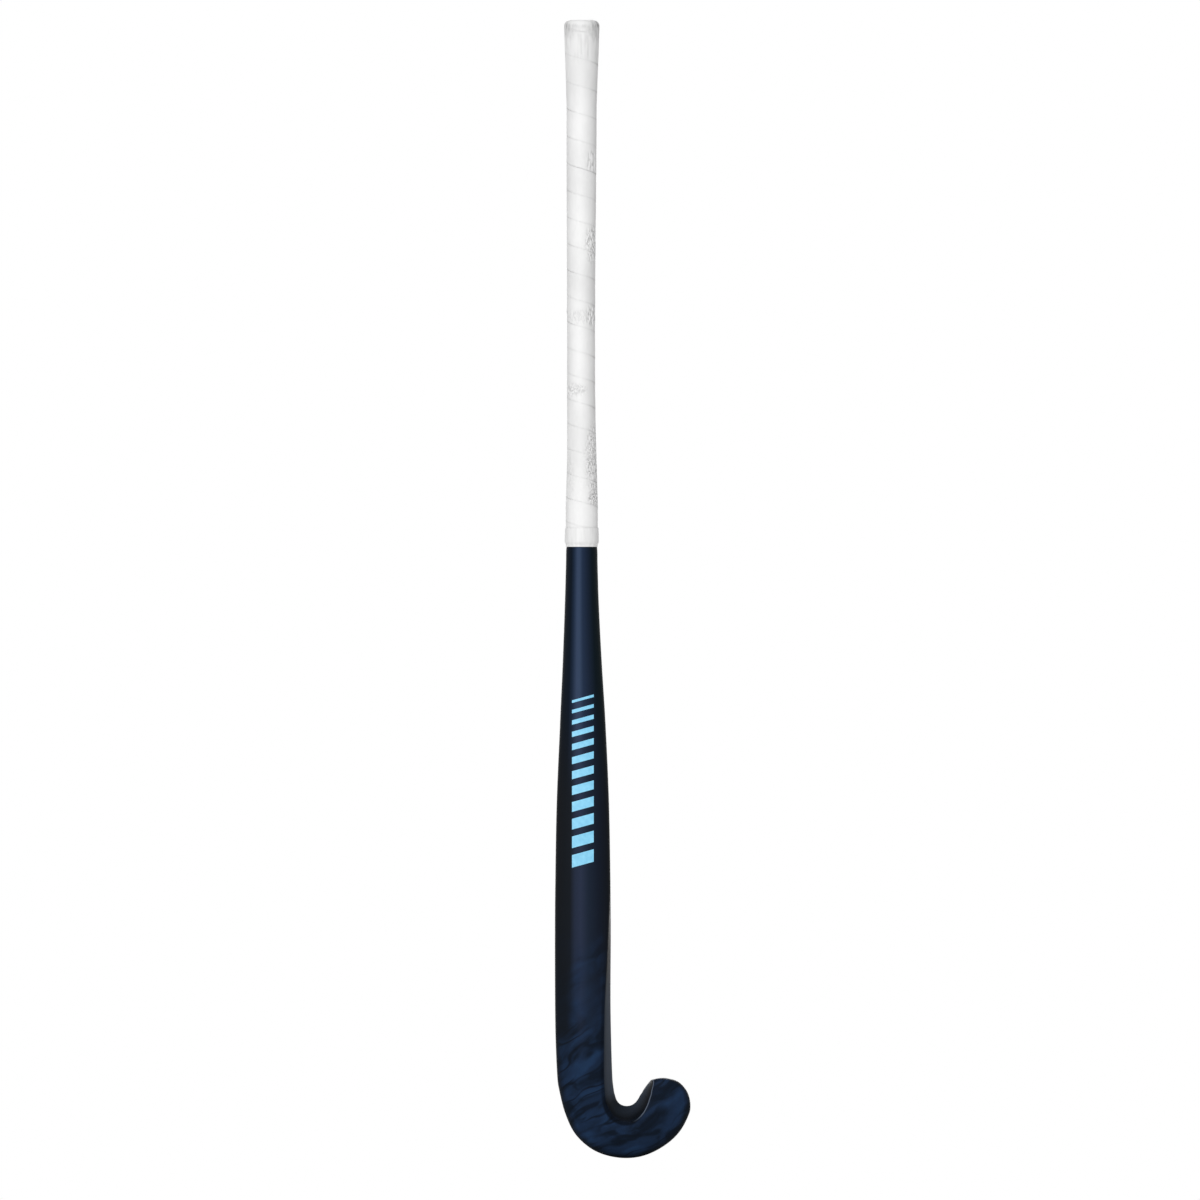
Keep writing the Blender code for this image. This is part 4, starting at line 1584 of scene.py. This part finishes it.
@dataclass
class GripTape(StickPart):
    """The grip tape, one band wound down the handle with each turn lapping over the next.

    Attributes:
        cap: the cap that the tape starts under.
        top_pitch, end_pitch: drop of a turn at the butt and at the grip's end.
        lap: width of the lap.
        body, lip, upper_lip: thickness of the band, of its upper edge, which the turn above
            covers, and of its lower edge.
        lip_gap, lap_play: gap between two turns, and how much wider than the lap the bed rises.
        skive: length over which an edge thins.
        start_angle, start_width: where the first full turn begins, and the band's width there.
        lead, least_width: turns by which the tapered start runs ahead of that, and its width.
        cap_gap: gap between the tape and the cap's rim.
        seam: turn from which the lower edge is a seam, and the turns that this takes.
        cover: the same for the upper edge under the turn above.
        last: the same for the end of the lap, counted back from the band's end.
        gapes: how far the lower edge stands open at the narrow sides: mean, swing and most.
        loose, loose_gape: the turns at which it begins and ceases to stand open all along, and
            how far it does so between them.
        girth: mean radius of the wound handle in millimetres, by which creases are placed.
        crumples: the film's fine crumples, as height, and size in millimetres.
        butt_folds: how far down from its top the film is folded, and how deep the folds are.
        shade_and_dirt: least painted shade at a turn's lower edge, where it steps down onto the
            turn below, how much more lies at the narrow sides, and how much more again on the toe
            side, away from the light.
        edge_shade_width: width of that painted shade.
        fold_dirt_and_shade, pucker_dirt_and_shade: dirt and painted shade at the bottom of a fold
        and of a crease a millimetre deep.
        valley: half the width of a crease, in units of the pattern's value.
        per_turn, skin_steps: rings in a turn, and points across the band's outside.
        puckers: the patches where the film is gathered.
    """

    cap: ButtCap
    top_pitch: float = 0.0234
    end_pitch: float = 0.0201
    lap: float = 0.0030
    start_width: float = 0.0050
    body: float = 0.0010
    lip: float = 0.00036
    lip_gap: float = 0.00048
    lap_play: float = 0.0003
    upper_lip: float = 0.00038
    skive: float = 0.0009
    start_angle: float = 311.0
    lead: float = 0.20
    least_width: float = 0.0004
    cap_gap: float = 0.00002
    seam: Point = (0.58, 0.05)
    cover: Point = (0.70, 0.10)
    last: Point = (0.9, 0.3)
    gapes: tuple = (0.16, 0.5, 0.4)
    loose: Point = (4.62, 5.11)
    loose_gape: float = 0.22
    girth: float = 13.0
    crumples: tuple = ((0.00007, 9.0), (0.00005, 3.5))
    butt_folds: Point = (0.034, 0.00060)
    shade_and_dirt: tuple = (0.03, 0.035, 0.06)
    edge_shade_width: float = 0.0011
    fold_dirt_and_shade: float = 0.30
    pucker_dirt_and_shade: float = 0.42
    valley: float = 0.30
    per_turn: int = 128
    skin_steps: int = 26
    puckers: tuple = (
        Pucker(0.834, -45.0, 0.012, 36.0, 0.00100, 1.6, 9.0),
        Pucker(0.765, -40.0, 0.021, 42.0, 0.00125, 1.6, 4.4),
        Pucker(0.705, -36.0, 0.012, 42.0, 0.00120, 1.5, 6.0),
        Pucker(0.704, -95.0, 0.008, 95.0, 0.00065, 1.6, 5.0),
        Pucker(0.708, -170.0, 0.003, 16.0, 0.00130, 1.8, 3.0),
        Pucker(0.643, -120.0, 0.007, 75.0, 0.00112, 1.5, 3.2),
        Pucker(0.584, -38.0, 0.040, 48.0, 0.00112, 1.4, 2.8),
        Pucker(0.552, -40.0, 0.008, 34.0, 0.00140, 1.3, 2.0),
        Pucker(0.570, -140.0, 0.026, 30.0, 0.00035, 1.6, 3.0),
    )

    def __post_init__(self) -> None:
        """Works out the winding's length in turns."""
        self.top = self.cap.flange - self.cap_gap
        self.bottom = self.form.grip_end
        run = self.top - self.start_width - self.bottom
        self.full = run / ((self.top_pitch + self.end_pitch) / 2)
        self.turns = self.full + 1.0 - (self.start_width - self.lap) / self.end_pitch

    def free_edge(self, turn: float) -> float:
        """Returns the lower edge's height if the winding went on without an end."""
        change = (self.top_pitch - self.end_pitch) / self.full
        return self.top - self.start_width - (self.top_pitch - change * turn / 2) * turn

    def lower(self, turn: float) -> float:
        """Returns the height of the lower edge, which laps over the next turn."""
        return min(max(self.free_edge(turn), self.bottom), self.top - self.least_width)

    def upper(self, turn: float) -> float:
        """Returns the height of the upper edge, under the turn above."""
        return min(self.top, self.free_edge(turn - 1.0) + self.lap)

    def past(self, turn: float, point: Point) -> float:
        """Returns 0 before a turn and 1 once it is past, eased over so many turns."""
        return ease((turn - point[0]) / point[1])

    def lapping(self, turn: float) -> float:
        """Returns 1 where the lower edge laps over another turn, and 0 over the last turn."""
        return 1.0 - self.past(turn - self.turns, (-self.last[0], self.last[1]))

    def bed(self, turn: float, height: float) -> float:
        """Returns how far the band's inside stands off its bed, raised where it laps."""
        past = (height - self.lower(turn) - self.lap - self.lap_play) / self.skive
        return (self.lip + self.lip_gap) * self.lapping(turn) * clamp(1.0 - past, 0.0, 1.0)

    def skin(self, turn: float, height: float) -> float:
        """Works out the band's outside.

        Args:
            turn: place along the winding, in turns.
            height: height on the stick.

        Returns:
            How far it stands off its bed.
        """
        ridge = self.lip + self.lip_gap + self.upper_lip
        ridge = mix(self.body, ridge, self.lapping(turn) * self.gape(turn))
        bare, low = self.lap_end(turn)
        thin = mix(self.body, self.lip, self.past(turn, self.cover))
        if height >= bare:
            return thin
        if height >= low:
            return mix(thin, self.body, (bare - height) / (bare - low))
        return mix(self.body, ridge, ((low - height) / max(low - self.lower(turn), MM)) ** 1.5)

    def lap_end(self, turn: float) -> Point:
        """Finds where the band comes out from under the turn above.

        Args:
            turn: place along the winding, in turns.

        Returns:
            The heights between which it does.
        """
        covered = self.past(turn, self.cover)
        open_lap = self.gape(turn - 1.0)
        bare = self.upper(turn) - (self.lap + mix(0.01, 0.2, open_lap) * MM) * covered
        return (bare, bare - mix(0.05 * MM, self.skive, open_lap) * covered)

    def gape(self, turn: float) -> float:
        """Works out the gape, which is widest at the handle's narrow sides.

        Args:
            turn: place along the winding, in turns.

        Returns:
            How far the lower edge stands open, from 0 to 1.
        """
        side = abs(math.cos(math.radians(self.start_angle) + 2 * math.pi * turn))
        mean, swing, most = self.gapes
        wander = clamp(mean + swing * noise.noise(Vector((turn * 2.1, 3.0, 5.0))), 0.0, most)
        begun, ended = (self.past(turn, (start, 0.05)) for start in self.loose)
        loose = self.loose_gape * begun * (1.0 - ended)
        return max(loose, wander * ease(side * 1.3 - 0.3) * self.past(turn, self.seam))

    def crumple(self, angle: float, height: float) -> Point:
        """Works out the film's creases at a place and the dirt and painted shade in them.

        Args:
            angle: place round the handle, in radians.
            height: height on the stick.

        Returns:
            How far they lift the film, in metres, and their dirt and painted shade, from 0 to 1.
        """
        spot = Vector((math.cos(angle) * self.girth, math.sin(angle) * self.girth, height / MM))
        lift = sum(rise * noise.noise(spot / size) for rise, size in self.crumples)
        reach, depth = self.butt_folds
        butt = ease((height - self.top + reach) / reach * 2.0)
        folds = min(noise.noise(Vector((spot.x / 2.0, spot.y / 2.0, spot.z / 16.0))), 0.0)
        lift += depth * butt * folds
        # Dirt and painted shade at the bottom of each fold.
        grime_and_shade = -self.fold_dirt_and_shade * butt * folds
        for pucker in self.puckers:
            turn = (math.degrees(angle) - pucker.angle + 180.0) % 360.0 - 180.0
            away = math.hypot(turn / pucker.reach_round, (height - pucker.height) / pucker.reach_up)
            if away < 1.0:
                lean = (spot.z - 0.5 * spot.x) / pucker.tall
                fine = noise.noise(Vector((spot.x / pucker.wide, spot.y / pucker.wide, lean)))
                valley = max(0.0, 1.0 - abs(fine) / self.valley)
                there = ease(1.7 - 1.7 * away)
                lift += pucker.depth * there * (self.valley - valley)
                # Dirt and painted shade in each crease's valley.
                grime_and_shade += self.pucker_dirt_and_shade * there * valley * valley * pucker.depth / MM
        return lift, grime_and_shade

    def ring(self, turn: float) -> list[tuple[Vector, float]]:
        """Works out the band's section.

        Args:
            turn: place along the winding, in turns.

        Returns:
            The closed ring's points, each with its painted shade and dirt.
        """
        angle = math.radians(self.start_angle) + 2 * math.pi * turn
        upper = self.upper(turn)
        lower = self.lower(turn)
        width = upper - lower
        side = math.cos(angle)
        # Painted shade along the turn's lower edge, more at the narrow sides and on the toe side,
        # away from the light.
        least, more, toe = self.shade_and_dirt
        grey = (least + more * side * side + toe * max(side, 0.0)) * self.past(turn, self.seam)
        rows = []
        bare, low = self.lap_end(turn)
        for height in (upper, mix(upper, bare, 0.5), bare, low):
            height = max(height, mix(upper, lower, 0.3))
            rows.append((height, self.skin(turn, height), grey))
        first = rows[-1][0]
        last = lower + min(0.15 * MM, width * 0.1)
        for step in range(1, self.skin_steps + 1):
            height = mix(first, last, step / self.skin_steps)
            lift, grime_and_shade = self.crumple(angle, height)
            near = ease(step / 3)
            edge = grey * max(0.0, 1.0 - min(first - height, height - last) / self.edge_shade_width)
            rows.append((height, self.skin(turn, height) + lift * near, edge + grime_and_shade * near))
        corner = rows[-1][1]
        under = self.bed(turn, lower)
        rows += [(lower, mix(corner, under, 0.35), grey), (lower, mix(corner, under, 0.9), grey)]
        raised = self.lap + self.lap_play
        heights = [min(lower + raised * share, upper) for share in (0.02, 1.0)]
        level = min(lower + raised + self.skive, upper)
        heights += [mix(level, upper, share) for share in shares(2)]
        rows += [(height, self.bed(turn, height), grey) for height in heights]
        points = []
        for height, off, shade_and_dirt in rows:
            seat = 2 * FIT_GAP + max(self.cap.skirt_thickness(height), -FIT_GAP)
            offset = min(seat + off, self.cap.overhang)
            points.append((self.form.handle_point(angle, height, offset), shade_and_dirt))
        return points

    def build(self) -> Object:
        """Winds the tape.

        Returns:
            The dressed piece.
        """
        steps = round((self.turns + self.lead) * self.per_turn)
        made = [self.ring(mix(-self.lead, self.turns, step / steps)) for step in range(steps + 1)]
        rings = [[point for point, _ in ring] for ring in made]
        count = len(rings[0])
        start, end = (shrink_ring(ring, 0.0, Vector()) for ring in (rings[0], rings[-1]))
        rings = [start, *rings, end]
        made = pad_rows(made, 1, 1)
        skin = count - 7  # All but the band's underside, which has seven points.
        mesh = lay_rings(rings, lambda column, row: (row / self.per_turn, min(column / skin, 1.0)),
                         lambda column, row: made[row][column % count][1])
        film = GripFilm().material()
        piece = self.make_piece("wound_grip_tape", mesh, film, Slot.GRIP, sharp=55.0)
        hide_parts("grip_tape")
        return piece


@dataclass
class FinishingTape(StickPart):
    """The tape that holds the grip's lower end down onto the shaft.

    Attributes:
        grip: the grip tape that it is laid over.
        film: thickness of the wrapped film.
        on_grip: how far it runs up the grip.
        fall: height over which it steps down from the grip to the shaft.
        count, steps: points round a ring, and rings on the grip, down the step and below it.
        crease_size: units of the creases' pattern over the handle's radius.
        creases: the film's upright creases, as height, and how many times finer they are.
    """

    grip: GripTape
    film: float = 0.0003
    on_grip: float = 0.0115
    fall: float = 0.0036
    count: int = 120
    steps: tuple[int, int, int] = (10, 6, 4)
    crease_size: float = 9.0
    creases: tuple = ((0.00010, 1.0), (0.00005, 2.3))

    def profile(self) -> list[Point]:
        """Works out the tape's section, a closed loop.

        Returns:
            Its points (offset from the laminate, height).
        """
        ridge = self.grip.lip + self.grip.lip_gap + self.grip.upper_lip + 2 * FIT_GAP
        end = self.form.grip_end
        bottom = end - self.form.finish_on_shaft
        rows = [(ridge, end + self.on_grip), (ridge + self.film * 0.3, end + self.on_grip)]
        on_grip, down, below = (shares(steps)[1:] for steps in self.steps)
        for share in on_grip:
            height = mix(end + self.on_grip - 0.2 * MM, end, share)
            rows.append((ridge + self.film * mix(0.4, 1.0, ease(share / 0.3)), height))
        for share in down:
            across = mix(ridge + self.film, FIT_GAP + self.film, ease(share))
            rows.append((across, mix(end, end - self.fall, share)))
        for share in below:
            rows.append((FIT_GAP + self.film, mix(end - self.fall, bottom + 0.1 * MM, share)))
        rows += [(FIT_GAP + self.film * 0.6, bottom), (FIT_GAP, bottom), (FIT_GAP, end - FIT_GAP)]
        return rows + [(ridge, end - FIT_GAP), (ridge, end + self.on_grip)]

    def crease(self, angle: float, height: float) -> float:
        """Works out the film's upright creases.

        Args:
            angle: place round the handle, in radians.
            height: height on the stick.

        Returns:
            How far they lift the film.
        """
        size = self.crease_size
        spot = Vector((math.cos(angle) * size, math.sin(angle) * size, height / MM / size))
        return sum(rise * noise.noise(spot * finer) for rise, finer in self.creases)

    def build(self) -> Object:
        """Lays the tape round the shaft.

        Returns:
            The dressed piece.
        """
        profile = self.profile()
        rings = []
        for row, (offset, height) in enumerate(profile):
            ring = []
            for step in range(self.count):
                angle = 2 * math.pi * step / self.count
                lift = self.crease(angle, height) if 1 < row < len(profile) - 5 else 0.0
                ring.append(self.form.handle_point(angle, height, offset + lift))
            rings.append(ring)
        mesh = lay_rings(rings, lambda column, row: (column / self.count, row / len(rings)))
        film = FinishFilm().material()
        piece = self.make_piece("finishing_band", mesh, film, Slot.FINISH, sharp=50.0)
        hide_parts("finishing_tape")
        return piece


@dataclass
class InnerPieces:
    """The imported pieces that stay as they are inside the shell: core, web and handle plug.

    Attributes:
        nodes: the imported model's nodes by name.
    """

    nodes: dict

    def dress(self) -> None:
        """Gives each inner piece its own material."""
        finishes = {
            "head_core": Foam(name="head_core_foam"),
            "handle_plug": Foam(name="handle_plug_foam", pale="d6c293", deep="a68d5a"),
            "centre_web": BareLaminate(),
        }
        for name, finish in finishes.items():
            self.nodes[name].material_slots[0].material = finish.material()
            LOG.info("%s: dressed as %s", name, finish.name)


# The studio


@dataclass
class Lamp:
    """A soft box that faces the stick.

    Attributes:
        azimuth: degrees round the stick from the camera, to the right.
        elevation: degrees above the stick's middle.
        distance: from the stick's middle.
        power: in watts.
    """

    name: str
    azimuth: float
    elevation: float
    distance: float
    width: float
    height: float
    power: float

    def hang(self, target: Vector) -> Object:
        """Hangs the lamp so that it faces a point.

        Args:
            target: the point that it faces.

        Returns:
            The lamp.
        """
        data = bpy.data.lights.new(self.name, "AREA")
        data.shape = "RECTANGLE"
        data.size = self.width
        data.size_y = self.height
        data.energy = self.power
        turn = math.radians(self.azimuth)
        rise = math.radians(self.elevation)
        level = math.cos(rise)
        away = Vector((math.sin(turn) * level, -math.cos(turn) * level, math.sin(rise)))
        lamp = add_object(self.name, data)
        lamp.location = target + away * self.distance
        lamp.rotation_mode = "QUATERNION"
        lamp.rotation_quaternion = away.to_track_quat("Z", "Y")
        return lamp


@dataclass
class Studio:
    """A white room with a pale floor, soft boxes and a camera square to the stick's back.

    Attributes:
        view_width: width and height of what the camera sees at the stick.
        centre: the picture's middle, as X and Z.
        camera_distance: from the stick's plane to the camera.
        ambient: strength of the room's light.
        floor_fade: shares of the floor's radius between which it fades into the room.
        floor_drop: gap between the sole and the floor.
        middle: the point that the lamps face.
    """

    view_width: float = 1.0042
    centre: Point = (-0.01897, 0.46706)
    camera_distance: float = 4.0
    ambient: float = 0.415
    floor_radius: float = 1.7
    floor_fade: Point = (0.45, 0.98)
    floor_drop: float = 0.0002
    middle: tuple[float, float, float] = (0.0, 0.0, 0.47)
    lamps: tuple = (
        Lamp("key_box", -14.0, 6.0, 2.2, 0.8, 2.2, 28.7),
        Lamp("back_box", 180.0, 10.0, 2.6, 1.6, 2.2, 26.0),
        Lamp("top_box", -10.0, 80.0, 2.0, 1.6, 1.6, 11.0),
    )

    def build(self) -> None:
        """Builds the room, the floor, the lamps and the camera."""
        self.light_room()
        self.lay_floor()
        for lamp in self.lamps:
            lamp.hang(Vector(self.middle))
        self.place_camera()
        bpy.context.scene.view_settings.view_transform = "Standard"

    def light_room(self) -> None:
        """Lights the room evenly, and shows it white to the camera and in reflections."""
        world = bpy.data.worlds.new("white_room")
        bpy.context.scene.world = world
        nodes = Nodes(world)
        nodes.tree.nodes.clear()
        path = nodes.add("LightPath").outputs
        seen = nodes.add("Math", path["Is Camera Ray"], path["Is Glossy Ray"], operation="MAXIMUM")
        seen = nodes.add("Math", seen, path["Is Transmission Ray"], operation="MAXIMUM")
        room = nodes.add("Background", WHITE, self.ambient)
        white = nodes.add("Background", WHITE, 1.0)
        nodes.add("OutputWorld", nodes.add("MixShader", seen, room, white))

    def lay_floor(self) -> None:
        """Lays a pale disc under the stick that fades into the white room at its edge."""
        mesh = bmesh.new()
        bmesh.ops.create_circle(mesh, cap_ends=True, segments=128, radius=self.floor_radius)
        bmesh.ops.translate(mesh, verts=mesh.verts[:], vec=(0.0, 0.0, -self.floor_drop))
        # Matt white paper, rolled out: an even pale surface with no gloss.
        paper = bpy.data.materials.new("matt_white_paper")
        nodes = Nodes(paper)
        looks = {"Base Color": "f2f2f1", "Roughness": 0.95, "Specular IOR Level": 0.1}
        for name, value in looks.items():
            nodes.feed(nodes.shader.inputs[name], value)
        away = nodes.add("VectorMath", nodes.place(), operation="LENGTH")
        ends = [self.floor_radius * share for share in self.floor_fade]
        fade = nodes.add("MapRange", away, *ends, 1.0, 0.0, **SMOOTH)
        both = nodes.add("MixShader", fade, nodes.add("BsdfTransparent"), nodes.shader)
        nodes.feed(nodes.tree.nodes["Material Output"].inputs["Surface"], both)
        floor = mesh_object("studio_floor", mesh, paper)

    def place_camera(self) -> None:
        """Places a long-lens view, square to the stick's back, as the photograph has it."""
        data = bpy.data.cameras.new("camera")
        data.type = "ORTHO"
        data.ortho_scale = self.view_width
        camera = add_object("camera", data)
        camera.location = (self.centre[0], -self.camera_distance, self.centre[1])
        camera.rotation_euler = (math.radians(90.0), 0.0, 0.0)
        bpy.context.scene.camera = camera


def drawing_shift(form: StickForm) -> Vector:
    """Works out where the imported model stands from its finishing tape, a level band.

    Args:
        form: the stick's form.

    Returns:
        The way from the drawing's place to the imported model's.
    """
    low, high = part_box("finishing_tape")
    middle = (low + high) / 2
    return Vector((middle.x, middle.y, low.z - (form.grip_end - form.finish_on_shaft)))


def main() -> None:
    """Builds the stick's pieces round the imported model, then the studio."""
    logging.basicConfig(level=logging.INFO, format="%(name)s: %(message)s")
    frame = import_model()
    form = StickForm()
    shift = drawing_shift(form)
    StickBody(form, shift).build()
    PrintedBars(form, shift).build()
    cap = ButtCap(form, shift)
    cap.build()
    grip = GripTape(form, shift, cap)
    grip.build()
    FinishingTape(form, shift, grip).build()
    InnerPieces(frame["nodes"]).dress()
    Studio().build()


if __name__ == "__main__":
    main()
